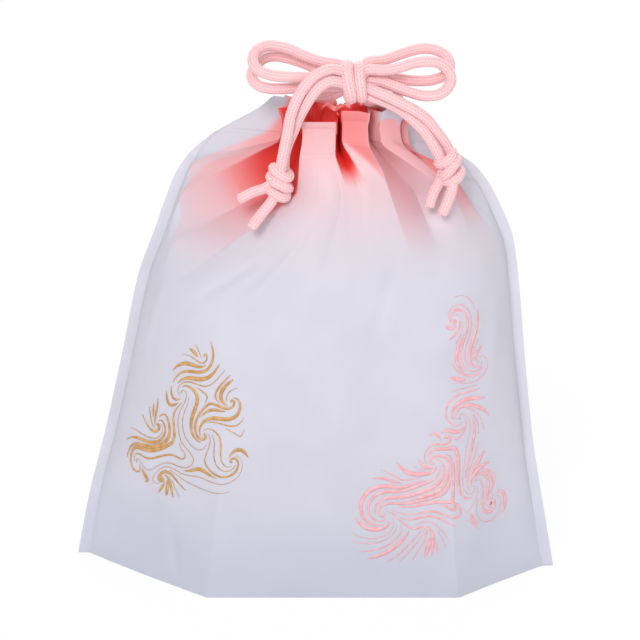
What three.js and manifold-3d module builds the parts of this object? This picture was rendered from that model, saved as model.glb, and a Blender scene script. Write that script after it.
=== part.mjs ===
// A small gift pouch of frosted polyethylene film, 250 mm wide lying flat, with a bottom gusset
// opened into a standing base, a welded hem round the mouth, and two braided cords threaded
// round that hem from opposite sides, drawn tight and tied in a bow over the front.
// Millimetres. X to the right, Y away from the front, Z up. The origin is under the middle
// of the base, on the surface that the pouch stands on.

import * as THREE from 'three';
import { mergeVertices } from 'three/addons/utils/BufferGeometryUtils.js';
import Module from 'manifold-3d';

const wasm = await Module();
wasm.setup();

// Driving dimensions
const FLAT_WIDTH = 250;         // the film lying flat, from side weld to side weld
const BASE_DEPTH = 96;          // the opened base, front edge to back edge
const FILM_WALL = 0.8;          // wall of the solid film sheets
const CORD_D = 4.9;             // braided cord
const SEAT_GAP = 0.3;           // between pieces that touch on the real pouch
const CORD_SIDES = 8;
const FIN_WIDTH = 4.5;          // side weld, seam to outer edge
const FIN_THICKNESS = 1.0;      // two films welded flat

// The opened base: six corners, seen from above. Four lie at shares of half the flat width
const atShare = (share) => share * FLAT_WIDTH / 2;
const BASE_FRONT_Y = -BASE_DEPTH / 2;
const BASE_BACK_Y = BASE_DEPTH / 2;
const BASE_FRONT_CORNERS = [-0.384, 0.52].map(atShare);
const BASE_BACK_CORNERS = [-0.416, 0.48].map(atShare);
const GUSSET_PEAK_Z = 40;       // half the gusset, where its fold meets the side weld

// The gathered mouth
const MOUTH_X = 13;             // centre of the gathered ring
const RING_HALF_X = 17;         // drawstring centreline, half its width
const RING_HALF_Y = 10;         // drawstring centreline, half its depth
const HEM_Z = 217;              // mean height of the hem's top fold
const CASING_HEIGHT = 16;       // hem fold down to the casing's weld
const FLARE = 0.06;             // how far the pleats open above and below the cords
const CORD_STEP_Z = 5.8;       // between the two drawstrings in the casing
const GATHER_FROM_Z = 150;      // the hem's rise and fall fades out down to here

// Seam lines of the standing film: [height, share of half the flat width]
const LEFT_SEAM = [[0, -0.838], [30, -0.7896], [60, -0.728], [100, -0.656], [135, -0.596], [157, -0.532],
  [180, -0.46], [191, -0.412], [199, -0.356], [206, -0.264], [211, -0.192], [217, -0.14]];
const RIGHT_SEAM = [[0, 0.838], [30, 0.796], [60, 0.756], [100, 0.72], [137, 0.692], [154, 0.672],
  [165, 0.64], [176, 0.6], [188, 0.548], [194, 0.508], [204, 0.432], [210, 0.392], [217, 0.364]];
const LEFT_SEAM_Y = 2;
const RIGHT_SEAM_Y = [[0, -13], [60, -9], [150, -3], [217, 0]];
// How far each face swells out beyond the base's edge below it: [height, swell]
const FRONT_SWELL = [[0, 0], [40, 3], [80, 3.5], [120, 0.5], [150, -4], [180, -11], [204, -19], [217, -23]];
const BACK_SWELL = [[0, 0], [40, 3], [80, 3.5], [120, 0], [150, -5], [180, -13], [204, -21], [217, -24]];

// Rise and fall of the hem round the mouth: [degrees from the left seam, height]
const HEM_FRONT = [[0, 3], [40, 3], [60, 0], [90, 0], [110, 2], [150, -2], [180, -2]];
const HEM_BACK = [[0, 3], [60, -4], [110, -7], [180, -2]];

// Folds of the gathered film, from the left seam to the right one. Each runs from the hem, at
// an angle round the ring and a reach beyond the ring, down to where it dies in the smooth
// face, at a share of the panel's width and a height. A knee is a point that it bends at.
const FRONT_FOLDS = [
  { angle: 25, reach: 1.2, dies: [-0.955, 188] },
  { angle: 29.5, reach: 13.5, dies: [-0.92, 176] },
  { angle: 42, reach: 1, dies: [-0.83, 157], knee: { at: [-14, -13, 182], share: -0.66 } },
  { angle: 53.5, reach: 16.5, dies: [-0.72, 140], knee: { at: [-7.5, -29, 183], share: -0.56 } },
  { angle: 82, reach: 13.5, dies: [0.1, 187] },
  { angle: 83, reach: 0.5, dies: [0.15, 191] },
  { angle: 88, reach: 9, dies: [0.22, 186] },
  { angle: 114, reach: 9.5, dies: [0.38, 158], knee: { at: [29.3, -31, 193], share: 0.2 } },
  { angle: 123, reach: 0, dies: [0.52, 160], knee: { at: [44, -18, 180], share: 0.42 } },
  { angle: 127.5, reach: 9, dies: [0.62, 186] },
  { angle: 150, reach: 10, dies: [0.71, 184], knee: { at: [50, -17, 192], share: 0.65 } },
  { angle: 143, reach: 0, dies: [0.88, 160], knee: { at: [58, -8, 188], share: 0.76 } },
  { angle: 158, reach: 11, dies: [0.93, 166] },
  { angle: 157, reach: 2.6, dies: [0.965, 182] },
];
const BACK_FOLDS = [
  { angle: 24, reach: 1.5, dies: [-0.955, 188] },
  { angle: 33, reach: 12, dies: [-0.9, 165] },
  { angle: 44, reach: 1, dies: [-0.74, 150] },
  { angle: 59.5, reach: 13.5, dies: [-0.55, 140] },
  { angle: 82, reach: 12.5, dies: [-0.12, 176] },
  { angle: 83, reach: 0, dies: [-0.05, 178] },
  { angle: 94, reach: 11.5, dies: [0.12, 142] },
  { angle: 118.5, reach: 12, dies: [0.42, 160] },
  { angle: 123, reach: 0, dies: [0.58, 150] },
  { angle: 138, reach: 11.5, dies: [0.74, 152] },
  { angle: 143, reach: 0, dies: [0.84, 170] },
  { angle: 157.5, reach: 12, dies: [0.92, 160] },
  { angle: 157, reach: 2.6, dies: [0.96, 182] },
];
// Heights of the film's rows: up from the base, down from the casing's foot, and up from it
const ROWS_UP = [0, 12, 30, 55, 80, 105, 125, 140, 150];
const ROWS_UNDER_CASING = [43, 35, 27, 19, 11, 5];
const ROWS_IN_CASING = [0, 5, 10];
const FILM_COLUMN = 15;         // widest step between columns of the film, lying flat
const CASING_ROOM = 0.55;        // between a drawstring and the casing's inner layer
const SLOT_FROM = 36;           // degrees of the ring left open for the cords at each seam

// Bow knot and the cords that leave it: points chosen by hand along each cord's middle
const KNOT = new THREE.Vector3(17.4, -24, 232.8);
const WRAP_STEP_X = 5.2;
const WRAP_HALF_Y = 5.55;
const WRAP_HALF_Z = 7.2;

const CORDS = {
  left_lead_front: [[-1.4, -5.2, 215.8], [-4.4, -3.4, 216.8], [-5.9, -3.1, 220.6], [-4.2, -5.8, 223.2],
    [0.5, -10.2, 223.4], [5, -14.6, 223], [8.4, -18.6, 223.6], [12, -20.6, 224.8]],
  left_lead_rear: [[-1.4, 5.2, 214.6], [-4.6, 3.4, 216.2], [-6.4, 2.6, 220.8], [-6, 0.6, 225],
    [-2, -4, 228], [4, -10, 228.4], [8.4, -14.6, 228.6], [12, -16.4, 228.2]],
  right_lead_front: [[27.7, -5, 205.1], [31, -3.4, 204.6], [34.6, -2.9, 207.4], [35.8, -2.8, 212.4],
    [35.8, -3.6, 217.4], [34.4, -8, 221.6], [31, -15, 224.2], [27.2, -20.8, 227], [22.9, -21.8, 227.4]],
  right_lead_rear: [[27.7, 5, 203.1], [31, 3.4, 203], [34.8, 2.8, 206.4], [36.2, 2.6, 212],
    [36.6, 2, 217.6], [36.4, -1.6, 223], [32.4, -7.6, 227.6], [27.6, -14, 229.6], [22.8, -16.4, 229.4]],
  left_loop_front: [[12, -20.6, 239], [3.4, -19, 240.4], [-4, -17, 242.4], [-9.6, -15.4, 244.6],
    [-15.2, -14.4, 246], [-20.8, -15, 246.4], [-25, -18, 244.9], [-26.4, -22.4, 242], [-24.6, -26, 239.2],
    [-20.2, -28, 237.4], [-14.7, -28.8, 236.6], [-8.2, -28.6, 236.2], [-1.8, -27.4, 235.8],
    [5.6, -25.4, 235.4], [12, -24.6, 235.2]],
  left_loop_rear: [[12, -18.2, 234.2], [5, -15.6, 234.6], [-1.6, -12, 236.6], [-6.6, -10, 238],
    [-11.7, -8.6, 239.2], [-16.3, -8, 239.9], [-20.9, -9, 239.6], [-24.4, -12, 237.9], [-26.6, -16, 235.6],
    [-26.8, -20, 233.2], [-24.4, -23, 231.2], [-19.9, -24.2, 230], [-13.9, -24.2, 229.8],
    [-7.8, -23.6, 230], [-1.8, -22.6, 230.2], [5.6, -21.8, 230.2], [12, -21.8, 230]],
  right_loop_rear: [[22.8, -20, 240.2], [29.6, -17.2, 240.6], [35.4, -15, 242], [41, -13, 243.4],
    [46.7, -12, 244.4], [52.5, -12, 243.8], [57, -13.6, 241.4], [58.6, -15, 237.8], [57, -15.4, 233.8],
    [51.5, -15.6, 231.4], [43.7, -15.8, 231], [35, -16.4, 232.4], [29, -17, 234], [22.8, -17.2, 234.6]],
  right_loop_front: [[22.8, -25.2, 238.4], [30, -25.2, 238.4], [36.4, -25, 239.4], [42.2, -24, 241],
    [47.9, -23, 241.6], [53, -22, 240.8], [57.4, -21.2, 237.4], [59, -22, 233.4], [57.4, -24, 229.9],
    [53.7, -25.8, 227.7], [48, -26.4, 227.2], [42.2, -26, 228.4], [35.1, -25, 230.7], [29, -23.4, 232.4],
    [22.8, -22.6, 233.2]],
  left_tail_outer: [[9.9, -29.2, 239.4], [6.6, -31.4, 240.4], [1.4, -33.4, 238.8], [-3.6, -34.6, 234.4],
    [-7.4, -35, 228], [-10, -34.8, 220.9], [-11.6, -34, 212.1], [-13, -33.6, 205], [-14.2, -33, 198.2]],
  left_tail_inner: [[9.6, -30.3, 234.2], [6, -32, 232.6], [2.4, -32.6, 229.6], [-1.4, -32.2, 225],
    [-4.6, -31.2, 220], [-7.2, -30, 214.4], [-9, -28.8, 208.6], [-10.4, -28.4, 203.2], [-11.4, -28.2, 198.2]],
  right_tail_outer: [[25, -27.4, 230.2], [28.4, -29, 229.2], [35.1, -30.6, 226.4], [42.3, -30.8, 222.6],
    [48.1, -29.6, 218.2], [52, -27.8, 213], [55, -26, 208.4], [57.6, -24.4, 204]],
  right_tail_inner: [[24.8, -28.6, 225.1], [28.4, -30, 223.2], [35.2, -31.2, 220.4],
    [40.9, -31.6, 217.2], [45.8, -31, 213], [50, -29.4, 207.2], [53.4, -27.8, 202]],
  left_cord_end_upper: [[-20.9, -29.7, 186.8], [-26.6, -30, 184.8], [-33, -31, 181.6]],
  left_cord_end_lower: [[-18, -32.3, 182.3], [-22.6, -35.6, 177], [-27.6, -38.6, 171.2]],
  right_cord_end_left: [[54.5, -25.8, 188.3], [51.6, -29.4, 183.8], [50, -30.6, 178]],
  right_cord_end_right: [[60, -28.4, 186.8], [58, -31, 181], [55.4, -32.4, 175.2]],
};
const CORD_STEP = 5.6;          // between the rings of a cord's tube

// Knots at the tails' ends
const END_KNOT = { halfWidth: 6.1, halfDepth: 5.8, halfHeight: 8.6 };
const BAND_TILT = 28;           // degrees, the crossing turn of an end knot

// Materials, from the film and cord of the real pouch
const film = (name) => new THREE.MeshStandardMaterial({ name, color: 0xe4dfeb, roughness: 0.45, metalness: 0 });
const cord = (name) => new THREE.MeshStandardMaterial({ name, color: 0xf6cdd1, roughness: 0.8, metalness: 0 });

const radians = (degrees) => degrees * Math.PI / 180;
const mix = (a, b, t) => a + (b - a) * t;
const clamp = (x, low, high) => Math.min(Math.max(x, low), high);
function ease(x) {
  const t = clamp(x, 0, 1);
  return t * t * (3 - 2 * t);
}

// Smooth curve through pairs, with no overshoot between them
function along(pairs, at) {
  const last = pairs.length - 1;
  const slope = (i) => (pairs[i + 1][1] - pairs[i][1]) / (pairs[i + 1][0] - pairs[i][0]);
  const tangent = (i) => {
    if (i === 0) return slope(0);
    if (i === last) return slope(last - 1);
    const [a, b] = [slope(i - 1), slope(i)];
    return a * b > 0 ? 2 * a * b / (a + b) : 0;
  };
  const x = clamp(at, pairs[0][0], pairs[last][0]);
  let i = 0;
  while (i < last - 1 && x > pairs[i + 1][0]) i += 1;
  const h = pairs[i + 1][0] - pairs[i][0];
  const s = (x - pairs[i][0]) / h;
  return (2 * s ** 3 - 3 * s ** 2 + 1) * pairs[i][1] + (s ** 3 - 2 * s ** 2 + s) * h * tangent(i)
    + (3 * s ** 2 - 2 * s ** 3) * pairs[i + 1][1] + (s ** 3 - s ** 2) * h * tangent(i + 1);
}

// The seams run up both sides, between the front and the back film
function seams(z) {
  return {
    left: [atShare(along(LEFT_SEAM, z)), LEFT_SEAM_Y],
    right: [atShare(along(RIGHT_SEAM, z)), along(RIGHT_SEAM_Y, z)],
  };
}

// Smooth section of one panel at a height, without its folds: straight between the corners of
// the base at the bottom, and a full, rounded face higher up. Returns a function of the share
// of the panel's width, -1 at the left seam and 1 at the right one.
function smoothSection(z, isFront) {
  const { left, right } = seams(z);
  const face = isFront ? BASE_FRONT_Y - along(FRONT_SWELL, z) : BASE_BACK_Y + along(BACK_SWELL, z);
  const base = seams(0);
  const width = base.right[0] - base.left[0];
  const corners = isFront ? BASE_FRONT_CORNERS : BASE_BACK_CORNERS;
  const corner = corners.map((x) => (x - base.left[0]) / width);
  const roundness = ease((z - 2) / 95);
  const power = 2.6 - 0.6 * ease((z - 120) / 90);
  const points = [];
  const run = [0];
  const count = 160;
  const places = Array.from({ length: count + 1 }, (_, i) => (1 - Math.cos(Math.PI * i / count)) / 2);
  corner.forEach((f) => { places[places.findIndex((place) => place > f)] = f; });
  for (let i = 0; i <= count; i += 1) {
    const f = places[i];
    const straight = Math.min(1, f / corner[0], (1 - f) / (1 - corner[1]));
    const round = Math.max(0, 1 - Math.abs(2 * f - 1) ** power) ** (1 / 1.9);
    const seamY = mix(left[1], right[1], f);
    const y = mix(seamY, face, mix(straight, round, roundness));
    points.push([mix(left[0], right[0], f), y]);
    if (i > 0) run.push(run[i - 1] + Math.hypot(points[i][0] - points[i - 1][0], y - points[i - 1][1]));
  }
  return (share) => {
    const want = (share + 1) / 2 * run[count];
    let i = 0;
    while (i < count - 1 && run[i + 1] < want) i += 1;
    const t = (want - run[i]) / (run[i + 1] - run[i]);
    return [mix(points[i][0], points[i + 1][0], t), mix(points[i][1], points[i + 1][1], t)];
  };
}

// A point at an angle round the mouth, at a distance outside the drawstring's centreline
function roundMouth(angle, outside, isFront) {
  const side = isFront ? -1 : 1;
  const [c, s] = [Math.cos(radians(angle)), Math.sin(radians(angle))];
  const normal = new THREE.Vector2(-c / RING_HALF_X, side * s / RING_HALF_Y).normalize();
  return [MOUTH_X - RING_HALF_X * c + normal.x * outside, side * RING_HALF_Y * s + normal.y * outside];
}

const hemRise = (angle, isFront) => along(isFront ? HEM_FRONT : HEM_BACK, angle);
const valleyOutside = CORD_D / 2 + SEAT_GAP + FILM_WALL;
const casingFoot = HEM_Z - CASING_HEIGHT;
const filmRows = [
  ...ROWS_UP.filter((z) => z < casingFoot - ROWS_UNDER_CASING[0]),
  ...ROWS_UNDER_CASING.map((down) => casingFoot - down),
  ...ROWS_IN_CASING.map((up) => casingFoot + up),
  HEM_Z,
];

// Pleats stand at the ring and open a little above and below the cords
function neckPoint(fold, z, isFront) {
  const [x, y] = roundMouth(fold.angle, valleyOutside + fold.reach, isFront);
  const open = 1 + FLARE * ((z - HEM_Z + CASING_HEIGHT / 2) / (CASING_HEIGHT / 2)) ** 2;
  return [MOUTH_X + (x - MOUTH_X) * open, y * open];
}

// Where a fold lies at a height, and at which share of the panel
function foldAt(fold, neckShare, z, isFront) {
  const [dieShare, dieZ] = fold.dies;
  if (z >= casingFoot) return { share: neckShare, point: neckPoint(fold, z, isFront) };
  if (z <= dieZ) return { share: dieShare, point: null };
  const top = neckPoint(fold, casingFoot, isFront);
  const foot = smoothSection(dieZ, isFront)(dieShare);
  const stops = [[dieZ, foot[0], foot[1], dieShare], [casingFoot, top[0], top[1], neckShare]];
  if (fold.knee) stops.splice(1, 0, [fold.knee.at[2], fold.knee.at[0], fold.knee.at[1], fold.knee.share]);
  const i = stops.findIndex((stop, k) => k > 0 && z <= stop[0]) - 1;
  const [a, b] = [stops[i], stops[i + 1]];
  const t = (z - a[0]) / (b[0] - a[0]);
  return { share: mix(a[3], b[3], t), point: [mix(a[1], b[1], t), mix(a[2], b[2], t)] };
}

// Columns of one panel: the seams, every fold, and even steps between them
function filmColumns(folds, isFront) {
  const { left, right } = seams(HEM_Z);
  const places = [left, ...folds.map((fold) => neckPoint(fold, HEM_Z, isFront)), right];
  const run = [0];
  for (let i = 1; i < places.length; i += 1) {
    run.push(run[i - 1] + Math.hypot(places[i][0] - places[i - 1][0], places[i][1] - places[i - 1][1]));
  }
  const neckShares = run.map((r) => 2 * r / run[run.length - 1] - 1);
  const lowShares = [-1, ...folds.map((fold) => fold.dies[0]), 1];
  const angles = [0, ...folds.map((fold) => fold.angle), 180];
  const flatHalf = sectionLength(0, isFront) / 2;
  const columns = [];
  for (let k = 0; k + 1 < places.length; k += 1) {
    const span = lowShares[k + 1] - lowShares[k];
    const splits = cornerShares(isFront).map((share) => (share - lowShares[k]) / span);
    const ends = [0, ...splits.filter((t) => t > 0.02 && t < 0.98), 1];
    ends.slice(1).forEach((to, i) => {
      const steps = Math.max(ends.length > 2 ? 1 : 2, Math.ceil((to - ends[i]) * span * flatHalf / FILM_COLUMN));
      for (let j = 0; j < steps; j += 1) {
        const t = mix(ends[i], to, j / steps);
        columns.push({ k, t, angle: mix(angles[k], angles[k + 1], t) });
      }
    });
  }
  columns.push({ k: places.length - 2, t: 1, angle: 180 });
  return { columns, neckShares };
}

// Shares of a panel's width at which the base turns its corners
function cornerShares(isFront) {
  const { left, right } = seams(0);
  const y = isFront ? BASE_FRONT_Y : BASE_BACK_Y;
  const [near, far] = isFront ? BASE_FRONT_CORNERS : BASE_BACK_CORNERS;
  const [a, b, c] = [Math.hypot(near - left[0], y - left[1]), far - near, Math.hypot(right[0] - far, y - right[1])];
  return [2 * a / (a + b + c) - 1, 1 - 2 * c / (a + b + c)];
}

function sectionLength(z, isFront) {
  const at = smoothSection(z, isFront);
  const places = Array.from({ length: 61 }, (_, i) => at(i / 30 - 1));
  return places.slice(1).reduce((sum, [x, y], i) => sum + Math.hypot(x - places[i][0], y - places[i][1]), 0);
}

// One row of the outer face of a panel: the smooth section, carried over to the folds
function filmRow(z, folds, layout, isFront) {
  const smooth = smoothSection(z, isFront);
  const edge = 2 * (SEAT_GAP + 0.15) / sectionLength(z, isFront);
  const stops = [{ share: -1 + edge, shift: [0, 0] }];
  folds.forEach((fold, i) => {
    const { share, point } = foldAt(fold, layout.neckShares[i + 1], z, isFront);
    const from = smooth(share);
    stops.push({ share, shift: point ? [point[0] - from[0], point[1] - from[1]] : [0, 0] });
  });
  stops.push({ share: 1 - edge, shift: [0, 0] });
  const lean = ease((z - GATHER_FROM_Z) / (casingFoot - GATHER_FROM_Z));
  return layout.columns.map(({ k, t, angle }) => {
    const share = mix(stops[k].share, stops[k + 1].share, t);
    const at = smooth(share);
    return new THREE.Vector3(
      at[0] + mix(stops[k].shift[0], stops[k + 1].shift[0], t),
      at[1] + mix(stops[k].shift[1], stops[k + 1].shift[1], t),
      z + lean * hemRise(angle, isFront),
    );
  });
}

// Inner face: one wall inside the outer face, and never past the plane of the side seam
function innerRow(row, z, isFront) {
  const side = isFront ? 1 : -1;
  const { left, right } = seams(z);
  const { x: x0 } = row[0];
  const span = row[row.length - 1].x - x0;
  return row.map((p, i) => {
    const before = row[Math.max(i - 1, 0)];
    const after = row[Math.min(i + 1, row.length - 1)];
    const a = new THREE.Vector2(p.x - before.x, p.y - before.y).normalize();
    const b = new THREE.Vector2(after.x - p.x, after.y - p.y).normalize();
    const run = a.add(b).normalize();
    const seamY = mix(left[1], right[1], clamp((p.x - x0) / span, 0, 1));
    const y = p.y + side * run.x * FILM_WALL;
    const limit = seamY - side * SEAT_GAP;
    return new THREE.Vector3(p.x - side * run.y * FILM_WALL, isFront ? Math.min(y, limit) : Math.max(y, limit), p.z);
  });
}

// Closed solid between two like grids of points
function sheetSolid(outer, inner) {
  const rows = outer.length;
  const cols = outer[0].length;
  const positions = [...outer.flat(), ...inner.flat()].flatMap((p) => [p.x, p.y, p.z]);
  const index = [];
  const at = (face, r, c) => face * rows * cols + r * cols + c;
  const quad = (a, b, c, d) => index.push(a, b, c, a, c, d);
  for (let r = 0; r + 1 < rows; r += 1) {
    for (let c = 0; c + 1 < cols; c += 1) {
      quad(at(0, r, c), at(0, r, c + 1), at(0, r + 1, c + 1), at(0, r + 1, c));
      quad(at(1, r, c), at(1, r + 1, c), at(1, r + 1, c + 1), at(1, r, c + 1));
    }
  }
  for (let c = 0; c + 1 < cols; c += 1) {
    quad(at(0, 0, c), at(1, 0, c), at(1, 0, c + 1), at(0, 0, c + 1));
    quad(at(0, rows - 1, c), at(0, rows - 1, c + 1), at(1, rows - 1, c + 1), at(1, rows - 1, c));
  }
  for (let r = 0; r + 1 < rows; r += 1) {
    quad(at(0, r, 0), at(0, r + 1, 0), at(1, r + 1, 0), at(1, r, 0));
    quad(at(0, r, cols - 1), at(1, r, cols - 1), at(1, r + 1, cols - 1), at(0, r + 1, cols - 1));
  }
  const geometry = new THREE.BufferGeometry();
  geometry.setAttribute('position', new THREE.Float32BufferAttribute(positions, 3));
  geometry.setIndex(index);
  return outward(geometry);
}

// Signed volume, to turn a solid the right way out
function outward(geometry) {
  const p = geometry.attributes.position;
  const index = geometry.index.array;
  const [a, b, c] = [new THREE.Vector3(), new THREE.Vector3(), new THREE.Vector3()];
  let volume = 0;
  for (let i = 0; i < index.length; i += 3) {
    a.fromBufferAttribute(p, index[i]);
    b.fromBufferAttribute(p, index[i + 1]);
    c.fromBufferAttribute(p, index[i + 2]);
    volume += a.dot(b.cross(c));
  }
  if (volume < 0) {
    for (let i = 0; i < index.length; i += 3) [index[i + 1], index[i + 2]] = [index[i + 2], index[i + 1]];
  }
  return geometry;
}

function panel(isFront) {
  const folds = isFront ? FRONT_FOLDS : BACK_FOLDS;
  const layout = filmColumns(folds, isFront);
  const outer = filmRows.map((z) => filmRow(z, folds, layout, isFront));
  const inner = outer.map((row, i) => innerRow(row, filmRows[i], isFront));
  return sheetSolid(outer, inner);
}

// Floor of the opened gusset: flat between the front and back corners, and rising at both ends
// to the point where the gusset's middle fold meets the side seam
function baseGusset() {
  const inset = FILM_WALL + SEAT_GAP + 0.1;
  const seam = seams(GUSSET_PEAK_Z);
  const peakIn = 2.4;
  const peakHalf = 0.8;
  const [frontLeft, frontRight] = BASE_FRONT_CORNERS;
  const [backLeft, backRight] = BASE_BACK_CORNERS;
  const stations = [
    { front: [seam.left[0] + peakIn, seam.left[1] - peakHalf], back: [seam.left[0] + peakIn, seam.left[1] + peakHalf],
      z: GUSSET_PEAK_Z },
    { front: [frontLeft + inset, BASE_FRONT_Y + inset], back: [backLeft + inset, BASE_BACK_Y - inset], z: 0 },
    { front: [MOUTH_X, BASE_FRONT_Y + inset], back: [MOUTH_X, BASE_BACK_Y - inset], z: 0 },
    { front: [frontRight - inset, BASE_FRONT_Y + inset], back: [backRight - inset, BASE_BACK_Y - inset], z: 0 },
    { front: [seam.right[0] - peakIn, seam.right[1] - peakHalf],
      back: [seam.right[0] - peakIn, seam.right[1] + peakHalf], z: GUSSET_PEAK_Z },
  ];
  const across = 4;
  const grid = (lift) => stations.map(({ front, back, z }) => Array.from({ length: across + 1 }, (_, i) => (
    new THREE.Vector3(mix(front[0], back[0], i / across), mix(front[1], back[1], i / across), z + lift))));
  return sheetSolid(grid(FILM_WALL), grid(0));
}

// Both films welded flat along a side, from the base up to the foot of the casing
function sideWeld(isLeft) {
  const rows = filmRows.filter((z) => z < casingFoot);
  const rise = hemRise(isLeft ? 0 : 180, true);
  const place = rows.map((z) => {
    const [x, y] = isLeft ? seams(z).left : seams(z).right;
    const lean = ease((z - GATHER_FROM_Z) / (casingFoot - GATHER_FROM_Z));
    return new THREE.Vector3(x, y, z + lean * rise);
  });
  const out = place.map((p, i) => {
    const run = place[Math.min(i + 1, place.length - 1)].clone().sub(place[Math.max(i - 1, 0)]);
    const normal = new THREE.Vector3(isLeft ? -run.z : run.z, 0, isLeft ? run.x : -run.x).normalize();
    return i === 0 ? new THREE.Vector3(Math.sign(normal.x), 0, 0) : normal;
  });
  const inner = SEAT_GAP + 0.05;
  const width = (z) => mix(FIN_WIDTH, FIN_WIDTH / 3, ease((z - GATHER_FROM_Z) / (casingFoot - GATHER_FROM_Z) * 2 - 1));
  const face = (half) => place.map((p, i) => [inner, inner + width(rows[i])].map((d) => (
    p.clone().addScaledVector(out[i], d).add(new THREE.Vector3(0, half, 0)))));
  return sheetSolid(face(-FIN_THICKNESS / 2), face(FIN_THICKNESS / 2));
}

// Inner layer of the casing, from its lip over the cords down to the casing's weld
function hemFlap(isFront) {
  const insideCord = -CORD_D / 2 - CASING_ROOM;
  const lip = CORD_D / 2 - SEAT_GAP;
  const section = [
    [insideCord, -FILM_WALL], [lip, -FILM_WALL], [lip, 0],
    [insideCord - FILM_WALL, 0], [insideCord - FILM_WALL, -CASING_HEIGHT], [insideCord, -CASING_HEIGHT],
  ];
  const steps = 22;
  const rings = [];
  for (let i = 0; i <= steps; i += 1) {
    const angle = mix(SLOT_FROM, 180 - SLOT_FROM, i / steps);
    rings.push(section.map(([outside, z]) => {
      const [x, y] = roundMouth(angle, outside, isFront);
      return new THREE.Vector3(x, y, HEM_Z + hemRise(angle, isFront) + z);
    }));
  }
  return loftSolid(rings);
}

// Closed solid through like rings of points, capped by fans from each ring's first point
function loftSolid(rings) {
  const n = rings[0].length;
  const index = [];
  for (let r = 0; r + 1 < rings.length; r += 1) {
    for (let i = 0; i < n; i += 1) {
      const j = (i + 1) % n;
      index.push(r * n + i, r * n + j, (r + 1) * n + j, r * n + i, (r + 1) * n + j, (r + 1) * n + i);
    }
  }
  const last = (rings.length - 1) * n;
  for (let i = 1; i + 1 < n; i += 1) index.push(0, i + 1, i, last, last + i, last + i + 1);
  const geometry = new THREE.BufferGeometry();
  geometry.setAttribute('position', new THREE.Float32BufferAttribute(rings.flat().flatMap((p) => [p.x, p.y, p.z]), 3));
  geometry.setIndex(index);
  return outward(geometry);
}

// A cord's tube through chosen points
function tube(points, steps) {
  const curve = new THREE.CatmullRomCurve3(points, false, 'centripetal');
  const shape = new THREE.Shape(Array.from({ length: CORD_SIDES }, (_, i) => {
    const a = 2 * Math.PI * (i + 0.5) / CORD_SIDES;
    return new THREE.Vector2(CORD_D / 2 * Math.cos(a), CORD_D / 2 * Math.sin(a));
  }));
  return bare(new THREE.ExtrudeGeometry(shape, {
    steps: steps ?? Math.max(2, Math.round(curve.getLength() / CORD_STEP)), extrudePath: curve,
  }));
}

function bare(geometry) {
  geometry.deleteAttribute('uv');
  geometry.deleteAttribute('normal');
  return outward(mergeVertices(geometry, 1e-4));
}

function toManifold(geometry) {
  return new wasm.Manifold(new wasm.Mesh({
    numProp: 3,
    vertProperties: new Float32Array(geometry.attributes.position.array),
    triVerts: new Uint32Array(geometry.index.array),
  }));
}

function fromManifold(solid) {
  const mesh = solid.getMesh();
  const geometry = new THREE.BufferGeometry();
  geometry.setAttribute('position', new THREE.BufferAttribute(new Float32Array(mesh.vertProperties), 3));
  geometry.setIndex(new THREE.BufferAttribute(new Uint32Array(mesh.triVerts), 1));
  return geometry;
}

const vector = ([x, y, z]) => new THREE.Vector3(x, y, z);

// A free stretch of cord; one that turns at the bow knot starts in a half ball on its hinge
function freeCord(name) {
  const points = CORDS[name].map(vector);
  const body = tube(points);
  if (!name.includes('tail')) return body;
  const ball = new THREE.SphereGeometry(CORD_D / 2, 12, 8);
  ball.translate(points[0].x, points[0].y, points[0].z);
  return fromManifold(toManifold(body).add(toManifold(bare(ball))));
}

// A drawstring inside the casing: in at one seam, once round the mouth, and out beside itself
function drawstring(isLeft) {
  const depth = FILM_WALL + 2 * SEAT_GAP + CORD_D / 2 + (isLeft ? 0 : CORD_STEP_Z);
  const opening = SLOT_FROM - 1;
  const points = [];
  const step = (180 - opening) / 12;
  for (let angle = opening; angle < 180; angle += step) points.push([isLeft ? angle : 180 - angle, true]);
  points.push([isLeft ? 180 : 0, true]);
  for (let angle = 180 - step; angle > opening - step / 2; angle -= step) {
    points.push([isLeft ? angle : 180 - angle, false]);
  }
  return tube(points.map(([angle, isFront]) => {
    const [x, y] = roundMouth(angle, 0, isFront);
    return new THREE.Vector3(x, y, HEM_Z + hemRise(angle, isFront) - depth);
  }), 30);
}

// A turn of cord closed on itself round a flat oval, in the YZ plane
function closedTurn(halfY, halfZ, sides, steps) {
  const geometry = bare(new THREE.TorusGeometry(1, CORD_D / 2 / 10, sides, steps));
  const p = geometry.attributes.position;
  for (let i = 0; i < p.count; i += 1) {
    const angle = Math.atan2(p.getY(i), p.getX(i));
    const outside = (Math.hypot(p.getX(i), p.getY(i)) - 1) * 10;
    const normal = new THREE.Vector2(Math.cos(angle) / halfY, Math.sin(angle) / halfZ).normalize();
    p.setXYZ(i, p.getZ(i) * 10, halfY * Math.cos(angle) + normal.x * outside,
      halfZ * Math.sin(angle) + normal.y * outside);
  }
  return outward(geometry);
}

// Cords squeezed together inside the bow knot's two turns
function knotCore() {
  const inside = CORD_D / 2 + SEAT_GAP;
  const half = WRAP_STEP_X / 2 + CORD_D / 2 - SEAT_GAP;
  const profile = [[0, -half], [0.75, -half], [1, -half + 1.2], [1, half - 1.2], [0.75, half], [0, half]];
  const geometry = new THREE.LatheGeometry(profile.map(([r, z]) => new THREE.Vector2(r, z)), 20);
  geometry.rotateZ(-Math.PI / 2);
  geometry.scale(1, WRAP_HALF_Y - inside, WRAP_HALF_Z - inside);
  return bare(geometry);
}

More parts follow.
